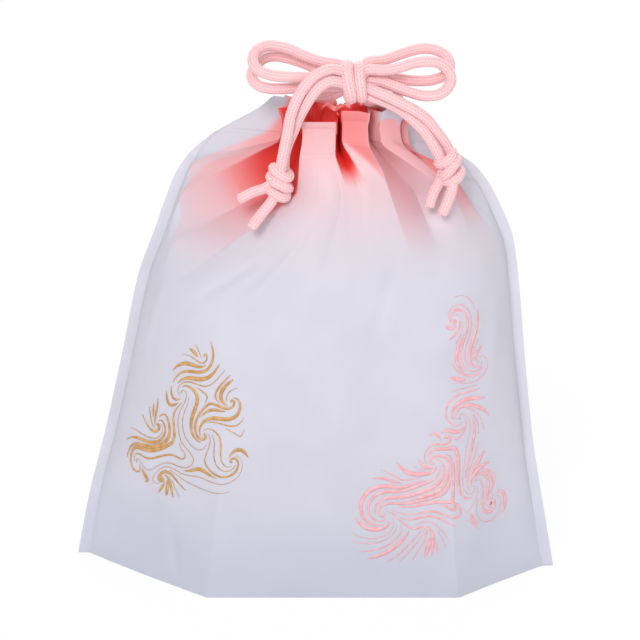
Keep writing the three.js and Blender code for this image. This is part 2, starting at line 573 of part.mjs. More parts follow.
// Overhand knot in the two strands of a tail: a drawn-up body and the turn that crosses it
function endKnot() {
  const { halfWidth, halfDepth, halfHeight } = END_KNOT;
  const body = new THREE.SphereGeometry(1, 20, 14);
  body.scale(halfWidth, halfDepth, halfHeight);
  const band = closedTurn(halfWidth - CORD_D / 2 + 0.7, halfDepth - CORD_D / 2 + 0.7, 8, 20);
  band.rotateY(Math.PI / 2);
  band.rotateZ(Math.PI / 2);
  band.rotateY(radians(BAND_TILT));
  return fromManifold(toManifold(bare(body)).add(toManifold(bare(band))));
}

// Place of an end knot: under its two strands, in line with them
function endKnotPlace(side) {
  const ends = [`${side}_tail_outer`, `${side}_tail_inner`].map((name) => CORDS[name].slice(-2).map(vector));
  const up = new THREE.Vector3();
  ends.forEach(([before, end]) => up.add(before.clone().sub(end).normalize()));
  const across = ends[0][1].clone().sub(ends[1][1]).normalize();
  up.addScaledVector(across, -up.dot(across)).normalize();
  const middle = ends[0][1].clone().add(ends[1][1]).multiplyScalar(0.5);
  const centre = middle.addScaledVector(up, -END_KNOT.halfHeight - 2 * SEAT_GAP);
  const turn = new THREE.Quaternion().setFromUnitVectors(new THREE.Vector3(0, 0, 1), up);
  return { centre, turn };
}

function named(name, geometry, material) {
  const mesh = new THREE.Mesh(geometry, material(name.replaceAll('_', ' ')));
  mesh.name = name;
  return mesh;
}

const pouch = new THREE.Group();

pouch.add(named('front_panel', panel(true), film));
pouch.add(named('back_panel', panel(false), film));
pouch.add(named('base_gusset', baseGusset(), film));
pouch.add(named('left_side_weld', sideWeld(true), film));
pouch.add(named('right_side_weld', sideWeld(false), film));
pouch.add(named('front_hem', hemFlap(true), film));
pouch.add(named('back_hem', hemFlap(false), film));
pouch.add(named('left_drawstring', drawstring(true), cord));
pouch.add(named('right_drawstring', drawstring(false), cord));

const bow = new THREE.Group();
bow.position.copy(KNOT);
bow.add(named('bow_knot_core', knotCore(), cord));
[['left', -1], ['right', 1]].forEach(([side, sign]) => {
  const turn = named(`bow_knot_turn_${side}`, closedTurn(WRAP_HALF_Y, WRAP_HALF_Z, 8, 24), cord);
  turn.position.x = sign * WRAP_STEP_X / 2;
  bow.add(turn);
});
pouch.add(bow);

Object.keys(CORDS).forEach((name) => pouch.add(named(name, freeCord(name), cord)));

['left', 'right'].forEach((side) => {
  const knot = named(`${side}_end_knot`, endKnot(), cord);
  const { centre, turn } = endKnotPlace(side);
  knot.position.copy(centre);
  knot.quaternion.copy(turn);
  pouch.add(knot);
});

export default pouch;
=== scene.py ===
"""Visual model of a small gift pouch of frosted film, drawn shut and tied in a bow.

The pouch is one folded and welded polyethylene film, opened into a standing base at the
bottom and gathered into pleats at the mouth by two braided cords. Shapes are worked out in
millimetres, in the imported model's frame, and put into meshes in metres.
"""

import logging
import math
from dataclasses import dataclass, field
from enum import Enum

import bpy
import numpy as np
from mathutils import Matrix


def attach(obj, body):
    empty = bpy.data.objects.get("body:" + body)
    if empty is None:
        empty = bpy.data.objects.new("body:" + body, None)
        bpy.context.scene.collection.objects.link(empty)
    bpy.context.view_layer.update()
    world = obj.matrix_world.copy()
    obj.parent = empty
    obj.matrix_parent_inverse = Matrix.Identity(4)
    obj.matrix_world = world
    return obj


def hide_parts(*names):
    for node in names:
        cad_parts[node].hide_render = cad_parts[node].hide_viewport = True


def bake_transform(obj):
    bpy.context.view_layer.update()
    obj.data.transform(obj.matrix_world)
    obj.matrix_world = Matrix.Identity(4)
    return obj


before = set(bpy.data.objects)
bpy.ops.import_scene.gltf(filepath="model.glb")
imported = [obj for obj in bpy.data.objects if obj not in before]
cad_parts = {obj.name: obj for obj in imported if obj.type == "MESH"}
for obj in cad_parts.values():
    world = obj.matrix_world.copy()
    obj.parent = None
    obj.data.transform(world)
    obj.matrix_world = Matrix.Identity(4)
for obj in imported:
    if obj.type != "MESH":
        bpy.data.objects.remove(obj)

log = logging.getLogger("pouch")

MM = 0.001
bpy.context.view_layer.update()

# Camera: what the photograph's viewpoint gives
TARGET = (2.5, 0.0, 115.0)
CAMERA_DISTANCE = 1450.0
CAMERA_RISE = 20.0
PIXEL_MM = 0.45
FRAME_PIXELS = 640
SENSOR_WIDTH = 36.0

# Studio: each lamp's name, place in millimetres, size in metres and power in watts
LAMPS = (
    ("key", (-280, -1050, 950), 0.45, 7.8),
    ("fill", (900, -900, 350), 1.0, 2.0),
    ("rear", (100, 800, 800), 0.8, 6.5),
)
LAMPS_AIM = (5, 0, 120)
SKY_STRENGTH = 0.62
FLOOR_GLOW = 0.90
FLOOR_RINGS = (1.0, 300.0, 900.0, 2400.0)
FLOOR_SIDES = 96
FLOOR_TONE_MM = 111.0
FLOOR_DROP = 0.2

# Film
FILM_WALL = 0.8
FIN_WIDTH = 4.5
FIN_THICKNESS = 1.0
SEAT_GAP = 0.3
FLAT_HALF = 125.0
BASE_Y = 48.0
FRONT_CORNERS = (-48.0, 65.0)
BACK_CORNERS = (-52.0, 60.0)
GUSSET_PEAK_Z = 40.0
MOUTH_X = 13.0
RING_HALF_X = 17.0
RING_HALF_Y = 10.0
HEM_Z = 217.0
CASING_HEIGHT = 16.0
CASING_FOOT = HEM_Z - CASING_HEIGHT
FLARE = 0.06
GATHER_FROM_Z = 150.0
UV_UNIT = 100.0

LEFT_SEAM = ((0, -104.75), (30, -98.7), (60, -91), (100, -82), (135, -74.5), (157, -66.5),
             (180, -57.5), (191, -51.5), (199, -44.5), (206, -33), (211, -24), (217, -17.5))
RIGHT_SEAM = ((0, 104.75), (30, 99.5), (60, 94.5), (100, 90), (137, 86.5), (154, 84), (165, 80),
              (176, 75), (188, 68.5), (194, 63.5), (204, 54), (210, 49), (217, 45.5))
LEFT_SEAM_Y = 2.0
RIGHT_SEAM_Y = ((0, -13), (60, -9), (150, -3), (217, 0))

# Cord
CORD_D = 4.9
CORD_UV_UNIT = 10.0
RINGS_APART_Z = 5.8
BRAID_COLUMNS = 10
BRAID_PITCH = 1.35
BRAID_DEPTH = 0.28


class Side(Enum):
    """Which film of the pouch."""

    FRONT = "front"
    BACK = "back"


class End(Enum):
    """Which side of the pouch, as the photograph shows it."""

    LEFT = -1
    RIGHT = 1


Pairs = tuple[tuple[float, float], ...]
# How far the hem rises at each side seam
HEM_RISE = {End.LEFT: 3.0, End.RIGHT: -2.0}


def linear(hex_code: str) -> tuple[float, float, float, float]:
    """An sRGB hex colour as linear light.

    Formula: c / 12.92 for a channel c below the toe, or else ((c + 0.055) / 1.055) ^ 2.4.

    Args:
        hex_code: the colour, as #RRGGBB.

    Returns:
        Its linear red, green and blue, and 1 for alpha.
    """
    parts = [int(hex_code[i:i + 2], 16) / 255 for i in (1, 3, 5)]
    rgb = [c / 12.92 if c <= 0.04045 else ((c + 0.055) / 1.055) ** 2.4 for c in parts]
    return (*rgb, 1.0)


def ease(x: np.ndarray | float) -> np.ndarray:
    """Smooth step, 3x squared less 2x cubed, with x held between 0 and 1."""
    t = np.clip(x, 0, 1)
    return t * t * (3 - 2 * t)


def along(pairs: Pairs, at: np.ndarray | float) -> np.ndarray:
    """Smooth curve through pairs with no overshoot.

    Formula: a cubic Hermite curve on each step, whose slope at a point is the harmonic mean
    of the slopes on both sides, or nothing where they differ in sign.

    Args:
        pairs: (place, value) in rising order of place.
        at: where to read the curve; held to the first and last place.

    Returns:
        The values there.
    """
    x, y = np.array(pairs, float).T
    d = np.diff(y) / np.diff(x)
    m = np.zeros_like(y)
    product = d[:-1] * d[1:]
    total = np.where(d[:-1] + d[1:] == 0, 1, d[:-1] + d[1:])
    m[1:-1] = np.where(product > 0, 2 * product / total, 0)
    m[0], m[-1] = d[0], d[-1]
    at = np.clip(at, x[0], x[-1])
    i = np.clip(np.searchsorted(x, at, side="left") - 1, 0, len(x) - 2)
    h = x[i + 1] - x[i]
    s = (at - x[i]) / h
    return ((2 * s**3 - 3 * s**2 + 1) * y[i] + (s**3 - 2 * s**2 + s) * h * m[i]
            + (3 * s**2 - 2 * s**3) * y[i + 1] + (s**3 - s**2) * h * m[i + 1])


def blur(values: np.ndarray, axis: int, times: int) -> np.ndarray:
    """Averages each point with its neighbours in the weights 1, 2, 1, and holds both ends.

    Args:
        values: grid of points or numbers.
        axis: the way the neighbours lie.
        times: how often.

    Returns:
        The smoother grid.
    """
    v = np.moveaxis(np.array(values, float), axis, 0)
    for _ in range(times):
        v[1:-1] = (v[:-2] + 2 * v[1:-1] + v[2:]) / 4
    return np.moveaxis(v, 0, axis)


def unit(v: np.ndarray) -> np.ndarray:
    """Each vector divided by its length."""
    return v / np.maximum(np.linalg.norm(v, axis=-1, keepdims=True), 1e-9)


def ripple(u: np.ndarray, v: np.ndarray, length: float, seed: int) -> np.ndarray:
    """Soft irregular waves from -1 to 1.

    Formula: the mean of seven sines of a plane wave, each with its own direction, phase and
    a length between 0.7 and 1.5 times the given one, taken from a seeded generator.

    Args:
        u: place across, in millimetres.
        v: place along.
        length: the waves' mean length.
        seed: picks the set of waves.

    Returns:
        The height at each place.
    """
    rng = np.random.default_rng(seed)
    total = np.zeros(np.broadcast(u, v).shape)
    for _ in range(7):
        angle, phase = rng.uniform(0, 2 * math.pi, 2)
        k = 2 * math.pi / (length * rng.uniform(0.7, 1.5))
        total = total + np.sin(k * (math.cos(angle) * u + math.sin(angle) * v) + phase)
    return total / 3.2


def gathered(z: np.ndarray | float) -> np.ndarray:
    """Share that the film is gathered at a height: eased from the shoulders to the casing's foot."""
    return ease((z - GATHER_FROM_Z) / (CASING_FOOT - GATHER_FROM_Z))


def shares_along(points: np.ndarray) -> np.ndarray:
    """How far along a line each of its points lies, from -1 to 1."""
    run = np.concatenate([[0], np.cumsum(np.linalg.norm(np.diff(points, axis=0), axis=1))])
    return 2 * run / run[-1] - 1


def grid_faces(rows: int, cols: int, wrap: bool = False) -> np.ndarray:
    """Quads of a grid.

    Args:
        rows: its rows of points.
        cols: its columns.
        wrap: True to join the last column to the first.

    Returns:
        Four point numbers for each quad.
    """
    r = np.arange(rows - 1)[:, None]
    c = np.arange(cols if wrap else cols - 1)[None, :]
    d = (c + 1) % cols
    return np.stack([r * cols + c, r * cols + d, (r + 1) * cols + d, (r + 1) * cols + c], -1).reshape(-1, 4)


def placed(name: str, data: bpy.types.ID) -> bpy.types.Object:
    """Puts data into a new object, linked to the scene.

    Args:
        name: the object's name.
        data: its mesh, camera or light.

    Returns:
        The object.
    """
    made = bpy.data.objects.new(name, data)
    bpy.context.scene.collection.objects.link(made)
    return made


@dataclass
class Surface:
    """A mesh under way: points in millimetres, faces, and what the finish reads from them."""

    points: np.ndarray
    faces: list
    uv: np.ndarray | None = None
    marks: dict[str, np.ndarray] = field(default_factory=dict)

    def object(self, name: str, finish: bpy.types.Material, sharp: float | None = None) -> bpy.types.Object:
        """Puts the surface into a smooth-shaded object at the origin.

        Args:
            name: the piece's name.
            finish: its material.
            sharp: the angle, in degrees, past which an edge stays sharp.

        Returns:
            The object, linked to the scene.
        """
        mesh = bpy.data.meshes.new(name)
        mesh.from_pydata((self.points * MM).tolist(), [], [tuple(map(int, f)) for f in self.faces])
        if self.uv is not None:
            corner = np.empty(len(mesh.loops), dtype=np.int64)
            mesh.loops.foreach_get("vertex_index", corner)
            layer = mesh.uv_layers.new(name="flat")
            layer.data.foreach_set("uv", self.uv[corner].astype(np.float32).ravel())
        for key, values in self.marks.items():
            mesh.attributes.new(key, "FLOAT", "POINT").data.foreach_set("value", values.astype(np.float32))
        mesh.shade_smooth()
        mesh.validate()
        mesh.update()
        if sharp is not None:
            mesh.set_sharp_from_angle(angle=math.radians(sharp))
        mesh.materials.append(finish)
        return placed(name, mesh)


def joined(parts: list[Surface]) -> Surface:
    """Several surfaces as one.

    Args:
        parts: surfaces with the same kinds of marks.

    Returns:
        One surface that holds them all.
    """
    offset, points, faces = 0, [], []
    for part in parts:
        points.append(part.points)
        faces.extend([[i + offset for i in f] for f in part.faces])
        offset += len(part.points)
    marks = {key: np.concatenate([p.marks[key] for p in parts]) for key in parts[0].marks}
    return Surface(np.concatenate(points), faces, np.concatenate([p.uv for p in parts]), marks)


def closed_faces(rows: int, cols: int) -> np.ndarray:
    """Faces of a closed sheet: two grids, one after the other in the points, and the rim between.

    Args:
        rows: rows of each grid.
        cols: columns of each.

    Returns:
        The quads, of which the second grid's face the other way.
    """
    n = rows * cols
    quads = grid_faces(rows, cols)
    at = np.arange(n).reshape(rows, cols)
    rim = np.concatenate([at[0, :-1], at[:-1, -1], at[-1, :0:-1], at[:0:-1, 0]])
    nxt = np.roll(rim, -1)
    return np.concatenate([quads, quads[:, ::-1] + n, np.stack([rim + n, nxt + n, nxt, rim], -1)])


def thickened(grid: np.ndarray, normals: np.ndarray, wall: float) -> tuple[np.ndarray, list]:
    """Closed sheet between a grid and the same grid moved inwards along its normals.

    Args:
        grid: rows by columns of points on the outer face.
        normals: outward unit normals there.
        wall: thickness.

    Returns:
        The points and the faces, which point outwards.
    """
    rows, cols = grid.shape[:2]
    outer = grid.reshape(-1, 3)
    inner = (grid - normals * wall).reshape(-1, 3)
    faces = closed_faces(rows, cols)
    sample = faces[(rows - 1) * (cols - 1) // 3]
    a, b, c = outer[sample[0]], outer[sample[1]], outer[sample[2]]
    if np.dot(np.cross(b - a, c - a), normals.reshape(-1, 3)[sample[0]]) < 0:
        faces = faces[:, ::-1]
    return np.concatenate([outer, inner]), faces.tolist()


def normals_of(grid: np.ndarray) -> np.ndarray:
    """Unit normals of a grid: the cross product of its steps along columns and rows."""
    return unit(np.cross(np.gradient(grid, axis=1), np.gradient(grid, axis=0)))


Socket = bpy.types.NodeSocket


class Tree:
    """The node tree of a material or of the world, under way."""

    def __init__(self, owner: bpy.types.Material | bpy.types.World, output: str = "Material") -> None:
        """Starts an empty tree with its output.

        Args:
            owner: the material or the world.
            output: what kind of output it has.
        """
        owner.use_nodes = True
        self.owner, self.tree = owner, owner.node_tree
        self.tree.nodes.clear()
        self.output = self.tree.nodes.new("ShaderNodeOutput" + output)

    def node(self, kind: str, settings: dict | None = None, out: int | str = 0, **sockets) -> Socket:
        """Adds a node.

        Args:
            kind: its type name, without ShaderNode.
            settings: its properties.
            out: which of its outputs is wanted.
            sockets: input name (spaces as underscores, or i0, i1 for a place) to a value or an output.

        Returns:
            That output.
        """
        made = self.tree.nodes.new("ShaderNode" + kind)
        for key, value in (settings or {}).items():
            setattr(made, key, value)
        for key, value in sockets.items():
            place = made.inputs[int(key[1:])] if key[1:].isdigit() else made.inputs[key.replace("_", " ")]
            if isinstance(value, Socket):
                self.tree.links.new(value, place)
            else:
                place.default_value = value
        return made.outputs[out]

    def show(self, surface: Socket) -> bpy.types.Material | bpy.types.World:
        """Links a shader to the output and returns what the tree belongs to."""
        self.tree.links.new(surface, self.output.inputs["Surface"])
        return self.owner


ADD = {"operation": "ADD"}
SUBTRACT = {"operation": "SUBTRACT"}
MULTIPLY = {"operation": "MULTIPLY"}
ABSOLUTE = {"operation": "ABSOLUTE"}
GREATER = {"operation": "MAXIMUM"}
EASED = {"interpolation_type": "SMOOTHSTEP"}
COLOURS = {"data_type": "RGBA"}
COLOUR_OUT = 2


@dataclass(frozen=True)
class FrostedFilm:
    """Frosted polyethylene film, blown and gravure-printed with a tint that fades downwards.

    It scatters light softly, glows a little where light comes through it, and keeps a dull
    gloss on its creases. The print stops short of the side seals. Heights and widths are those
    of the flat film, and a pair of them is where a change begins and where it is complete.
    """

    name: str = "frosted polyethylene film"
    bare_light: str = "#E1E0EB"
    bare_shade: str = "#DDDBE7"
    # Cooler, darker foot: partly the gusset behind the film, partly painted shade on the foot, which faces a
    # little down
    over_gusset_and_shade: str = "#D6D9E7"
    tint: str = "#FBC6C9"
    # Pinker colour: partly film lying doubled, partly painted shade on pleats that face away from the lamps and
    # in shallow hollows
    doubled_tint_and_shade: str = "#FA9A9B"
    # Redder colour: partly the tint of stacked film, partly painted shade in the hollows between the pleats and
    # in the mouth
    deep_tint_and_shade: str = "#F5443C"
    gusset_and_shade_mm: tuple[float, float] = (14.0, 50.0)
    gusset_and_shade_share: float = 0.75
    tint_mm: tuple[float, float] = (144.0, 221.0)
    layer_tint_and_shade_mm: tuple[float, float] = (138.0, 168.0)
    doubled_tint_and_shade_range: tuple[float, float] = (0.02, 0.5)
    deep_tint_and_shade_range: tuple[float, float] = (0.42, 1.0)
    # Below nothing the mark takes the tint off: partly bare film turned out, partly a painted highlight on a
    # pleat's top
    bare_and_highlight_range: tuple[float, float] = (-0.6, -0.2)
    margin_mm: float = 15.5
    margin_edge_mm: float = 1.0
    neck_margins_mm: tuple[float, float] = (3.0, 5.5)
    neck_mm: tuple[float, float, float] = (148.0, 168.0, 197.0)
    cloud_mm: float = 32.26
    cloud_drift_mm: float = 16.0
    crease_mm: tuple[float, float] = (16.67, 27.78)
    crease_depth_mm: float = 1.0
    # Real frost is about 0.05 mm across, too fine to show, so it is drawn ten times as coarse
    frost_mm: float = 0.4762
    frost_depth_mm: float = 0.1
    seal_line_mm: tuple[float, float] = (0.4, 1.2)
    seal_line_depth_mm: float = 0.4
    roughness: tuple[float, float] = (0.36, 0.50)
    see_through: float = 0.20

    def material(self) -> bpy.types.Material:
        """Builds the film's material from the flat film's own coordinates.

        Returns:
            The material: a soft glossy face, with a share of light that comes through it.
        """
        t = Tree(bpy.data.materials.new(self.name))
        place = t.node("UVMap", {"uv_map": "flat"})
        across = t.node("SeparateXYZ", i0=place)
        up = t.node("SeparateXYZ", out=1, i0=place)
        cloud = t.node("TexNoise", Vector=place, Scale=UV_UNIT / self.cloud_mm, Detail=2.0, Roughness=0.5)
        colour = self.inked(t, across, up, cloud, self.bare(t, up, cloud))
        lie = t.node("Mapping", Vector=place, Scale=(*(UV_UNIT / size for size in self.crease_mm), 1.0))
        creases = t.node("TexNoise", Vector=lie, Scale=1.0, Detail=2.0, Roughness=0.5)
        relief = self.relief(t, place, up, creases)
        shine = t.node("MapRange", i0=creases, i3=self.roughness[0], i4=self.roughness[1])
        front = t.node("BsdfPrincipled", Base_Color=colour, Roughness=shine, IOR=1.45, Normal=relief)
        glow = t.node("BsdfTranslucent", Color=colour, Normal=relief)
        return t.show(t.node("MixShader", i0=self.see_through, i1=front, i2=glow))

    def bare(self, t: Tree, up: Socket, cloud: Socket) -> Socket:
        """Colour of the unprinted film.

        Args:
            t: the material's tree.
            up: height on the flat film.
            cloud: soft noise.

        Returns:
            Two near whites mixed by the noise, and cooler and darker on the foot, partly where the gusset lies
            behind it and partly as painted shade.
        """
        share = t.node("MapRange", EASED, i0=cloud, i1=0.25, i2=0.75)
        body = t.node("Mix", COLOURS, COLOUR_OUT, i0=share, i6=linear(self.bare_shade),
                      i7=linear(self.bare_light))
        # The foot's tone: partly the gusset behind the film, partly painted shade
        low, high = (z / UV_UNIT for z in self.gusset_and_shade_mm)
        foot = t.node("MapRange", EASED, i0=up, i1=low, i2=high, i3=self.gusset_and_shade_share, i4=0.0)
        return t.node("Mix", COLOURS, COLOUR_OUT, i0=foot, i6=body, i7=linear(self.over_gusset_and_shade))

    def inked(self, t: Tree, across: Socket, up: Socket, cloud: Socket, colour: Socket) -> Socket:
        """Colour of the film with its printed tint, with the tint of film that shows through it, and
        with painted shade in the hollows between the pleats.

        Args:
            t: the material's tree.
            across: place across the flat film.
            up: height on the flat film.
            cloud: soft noise, which makes the tint's lower edge drift.
            colour: the unprinted film's colour.

        Returns:
            The tint, then the pinker colour of two films and of painted shade, then the redder one of
            stacked film and of painted shade in the hollows, each mixed over the last.
        """
        # This mark carries the tint of film behind and painted shade in the hollows between the pleats
        layer_tint_and_painted_light = t.node("Attribute", {"attribute_name": "layer_tint_and_painted_light"}, out="Fac")
        printed = self.print_edge(t, across, up, layer_tint_and_painted_light)
        drift = t.node("Math", MULTIPLY, i0=t.node("Math", SUBTRACT, i0=cloud, i1=0.5),
                       i1=self.cloud_drift_mm / UV_UNIT)
        low, full = (z / UV_UNIT for z in self.tint_mm)
        rise = t.node("MapRange", EASED, i0=t.node("Math", ADD, i0=up, i1=drift), i1=low, i2=full)
        share = t.node("Math", MULTIPLY, i0=rise, i1=printed)
        colour = t.node("Mix", COLOURS, COLOUR_OUT, i0=share, i6=colour, i7=linear(self.tint))
        low, full = (z / UV_UNIT for z in self.layer_tint_and_shade_mm)
        high = t.node("Math", MULTIPLY, i0=t.node("MapRange", EASED, i0=up, i1=low, i2=full), i1=printed)
        # Both colours are partly the tint of stacked film and partly painted shade in the hollows
        for hue, way, (low, full) in ((self.doubled_tint_and_shade, None, self.doubled_tint_and_shade_range),
                                      (self.deep_tint_and_shade, EASED, self.deep_tint_and_shade_range)):
            share = t.node("MapRange", way, i0=layer_tint_and_painted_light, i1=low, i2=full)
            share = t.node("Math", MULTIPLY, i0=share, i1=high)
            colour = t.node("Mix", COLOURS, COLOUR_OUT, i0=share, i6=colour, i7=linear(hue))
        return colour

    def print_edge(self, t: Tree, across: Socket, up: Socket, layer_tint_and_painted_light: Socket) -> Socket:
        """Where the tint is printed.

        Args:
            t: the material's tree.
            across: place across the flat film.
            up: height on the flat film.
            layer_tint_and_painted_light: the film's mark of tint and painted shade, which is below nothing where
                the gathers turn bare film out and a highlight is painted.

        Returns:
            1 on the print and 0 in the margin beside each side seam, which is narrower in the
            neck, sooner on the left.
        """
        from_seam = t.node("Math", SUBTRACT, i0=FLAT_HALF / UV_UNIT, i1=t.node("Math", ABSOLUTE, i0=across))
        *starts, stop = (z / UV_UNIT for z in self.neck_mm)
        narrowed = [t.node("MapRange", EASED, i0=up, i1=start, i2=stop, i4=(self.margin_mm - neck) / UV_UNIT)
                    for neck, start in zip(self.neck_margins_mm, starts)]
        side = t.node("MapRange", i0=across, i1=-0.01, i2=0.01)
        narrowing = t.node("Mix", i0=side, i2=narrowed[0], i3=narrowed[1])
        edge = t.node("Math", ADD, i0=from_seam, i1=narrowing)
        printed = t.node("MapRange", EASED, i0=edge, i1=self.margin_mm / UV_UNIT,
                         i2=(self.margin_mm + self.margin_edge_mm) / UV_UNIT)
        # Where the mark is below nothing the tint is left off: partly bare film, partly a painted highlight
        turned = t.node("MapRange", i0=layer_tint_and_painted_light, i1=self.bare_and_highlight_range[0], i2=self.bare_and_highlight_range[1])
        return t.node("Math", MULTIPLY, i0=printed, i1=turned)

    def relief(self, t: Tree, place: Socket, up: Socket, creases: Socket) -> Socket:
        """Relief of the film: soft creases, fine frost and the casing's pressed seal line.

        Args:
            t: the material's tree.
            place: place on the flat film.
            up: height on the flat film.
            creases: the creases' noise.

        Returns:
            The normal.
        """
        frost = t.node("TexNoise", Vector=place, Scale=UV_UNIT / self.frost_mm, Detail=1.0)
        bent = t.node("Bump", Strength=0.25, Distance=self.crease_depth_mm * MM, Height=creases)
        bent = t.node("Bump", Strength=0.06, Distance=self.frost_depth_mm * MM, Height=frost, Normal=bent)
        away = t.node("Math", ABSOLUTE, i0=t.node("Math", SUBTRACT, i0=up, i1=CASING_FOOT / UV_UNIT))
        low, high = (reach / UV_UNIT for reach in self.seal_line_mm)
        groove = t.node("MapRange", EASED, i0=away, i1=low, i2=high)
        return t.node("Bump", Strength=0.5, Distance=self.seal_line_depth_mm * MM, Height=groove, Normal=bent)


@dataclass(frozen=True)
class BraidedCord:
    """Soft polyester cord, braided over a core: pale crowns and warm shaded crevices."""

    name: str = "braided polyester cord"
    crown: str = "#FAD4D8"
    # Darker, warmer colour between the stitches: painted shade
    crevice_shade: str = "#F0AFB1"
    crowned: tuple[float, float] = (0.02, 0.62)
    # Real filaments are about 0.02 mm thick, too fine to show, so these stand for strands of them
    fibre_mm: tuple[float, float] = (0.513, 1.111)
    fibre_depth_mm: float = 0.2
    unevenness: float = 0.45
    roughness: tuple[float, float] = (0.62, 0.8)

    def material(self) -> bpy.types.Material:
        """Builds the cord's material from the braid's own coordinates.

        Returns:
            The material: the cord's tint on the stitches' crowns and a painted shade between them, mixed by the
                stitches' height, with a soft sheen.
        """
        t = Tree(bpy.data.materials.new(self.name))
        place = t.node("UVMap", {"uv_map": "flat"})
        raised = t.node("Attribute", {"attribute_name": "crown"}, out="Fac")
        scale = (math.pi * CORD_D / self.fibre_mm[0], CORD_UV_UNIT / self.fibre_mm[1], 1.0)
        strands = t.node("Mapping", Vector=place, Scale=scale)
        fibres = t.node("TexNoise", Vector=strands, Scale=1.0, Detail=2.0, Roughness=0.6)
        uneven = t.node("Math", MULTIPLY, i0=t.node("Math", SUBTRACT, i0=fibres, i1=0.5), i1=self.unevenness)
        share = t.node("MapRange", EASED, i0=t.node("Math", ADD, i0=raised, i1=uneven),
                       i1=self.crowned[0], i2=self.crowned[1])
        # The hollows between the stitches take a painted shade
        colour = t.node("Mix", COLOURS, COLOUR_OUT, i0=share, i6=linear(self.crevice_shade), i7=linear(self.crown))
        relief = t.node("Bump", Strength=0.35, Distance=self.fibre_depth_mm * MM, Height=fibres)
        rough = t.node("MapRange", i0=fibres, i3=self.roughness[0], i4=self.roughness[1])
        return t.show(t.node("BsdfPrincipled", Base_Color=colour, Roughness=rough, Normal=relief,
                             Sheen_Weight=0.35, Sheen_Roughness=0.5))


@dataclass(frozen=True)
class PrintInk:
    """Screen-printed ink on the film: slightly uneven cover and a satin face."""

    name: str
    thick: str
    thin: str
    # The cover's specks are about 0.3 mm across on a real screen print, and are drawn coarser
    speck_mm: float = 2.381
    speck_depth_mm: float = 0.1
    cover: tuple[float, float] = (0.35, 0.62)
    roughness: tuple[float, float] = (0.35, 0.55)

    def material(self) -> bpy.types.Material:
        """Builds the ink's material.

        Returns:
            The material: two tints and a roughness that follow the ink's uneven cover.
        """
        t = Tree(bpy.data.materials.new(self.name))
        place = t.node("TexCoord", out="Object")
        cover = t.node("TexNoise", Vector=place, Scale=1 / (self.speck_mm * MM), Detail=2.0)
        share = t.node("MapRange", EASED, i0=cover, i1=self.cover[0], i2=self.cover[1])
        colour = t.node("Mix", COLOURS, COLOUR_OUT, i0=share, i6=linear(self.thin), i7=linear(self.thick))
        rough = t.node("MapRange", i0=cover, i3=self.roughness[0], i4=self.roughness[1])
        relief = t.node("Bump", Strength=0.15, Distance=self.speck_depth_mm * MM, Height=cover)
        return t.show(t.node("BsdfPrincipled", Base_Color=colour, Roughness=rough, Normal=relief))


@dataclass(frozen=True)
class Fold:
    """One fold of the gathered film.

    It runs from the hem, at an angle round the ring and a reach beyond it, down to where it
    dies in the smooth face, at a share of the panel's width and a height. A knee is a point
    that it bends at, with its share.
    """

    angle: float
    reach: float
    dies: tuple[float, float]
    knee: tuple[float, float, float] | None = None
    knee_share: float = 0.0


@dataclass(frozen=True)
class Crease:
    """A soft crease in the lying film: from one place to another, a rise (or dent) and its width."""

    start: tuple[float, float]
    end: tuple[float, float]
    rise: float
    width: float


@dataclass(frozen=True)
class LayerTintAndPaintedLight:
    """Where the film shows the tint of the film behind it, or of that pressed against it, and a
    painted shade, darker and redder, in the hollows between the pleats.

    It runs from one place across the flat film to another, with a hard edge at the first and
    one as soft as given at the other, and fades with the distance from its heart in the
    standing film, upwards only if the heart is over the hem. A slanted foot cuts it off below
    a line on the flat film. One with a depth below nothing marks film without its tint: partly
    bare film, and partly a painted highlight.
    """

    low: float
    high: float
    heart: tuple[float, float, float]
    size: float
    depth: float
    slanted: tuple[tuple[float, float], tuple[float, float]] | None = None
    soft: float = 0.9


FRONT_FOLDS = (
    Fold(25, 1.2, (-0.955, 188)),
    Fold(29.5, 13.5, (-0.92, 176)),
    Fold(42, 1, (-0.83, 157), (-14, -13, 182), -0.66),
    Fold(53.5, 16.5, (-0.72, 140), (-7.5, -29, 183), -0.56),
    Fold(82, 13.5, (0.1, 187)),
    Fold(83, 0.5, (0.15, 191)),
    Fold(88, 9, (0.22, 186)),
    Fold(114, 9.5, (0.38, 158), (29.3, -31, 193), 0.2),
    Fold(123, 0, (0.52, 160), (44, -18, 180), 0.42),
    Fold(127.5, 9, (0.62, 186)),
    Fold(150, 10, (0.71, 184), (50, -17, 192), 0.65),
    Fold(143, 0, (0.88, 160), (58, -8, 188), 0.76),
    Fold(158, 11, (0.93, 166)),
    Fold(157, 2.6, (0.965, 182)),
)
BACK_FOLDS = (
    Fold(24, 1.5, (-0.955, 188)),
    Fold(33, 12, (-0.9, 165)),
    Fold(44, 1, (-0.74, 150)),
    Fold(59.5, 13.5, (-0.55, 140)),
    Fold(82, 12.5, (-0.12, 176)),
    Fold(83, 0, (-0.05, 178)),
    Fold(94, 11.5, (0.12, 142)),
    Fold(118.5, 12, (0.42, 160)),
    Fold(123, 0, (0.58, 150)),
    Fold(138, 11.5, (0.74, 152)),
    Fold(143, 0, (0.84, 170)),
    Fold(157.5, 12, (0.92, 160)),
    Fold(157, 2.6, (0.96, 182)),
)

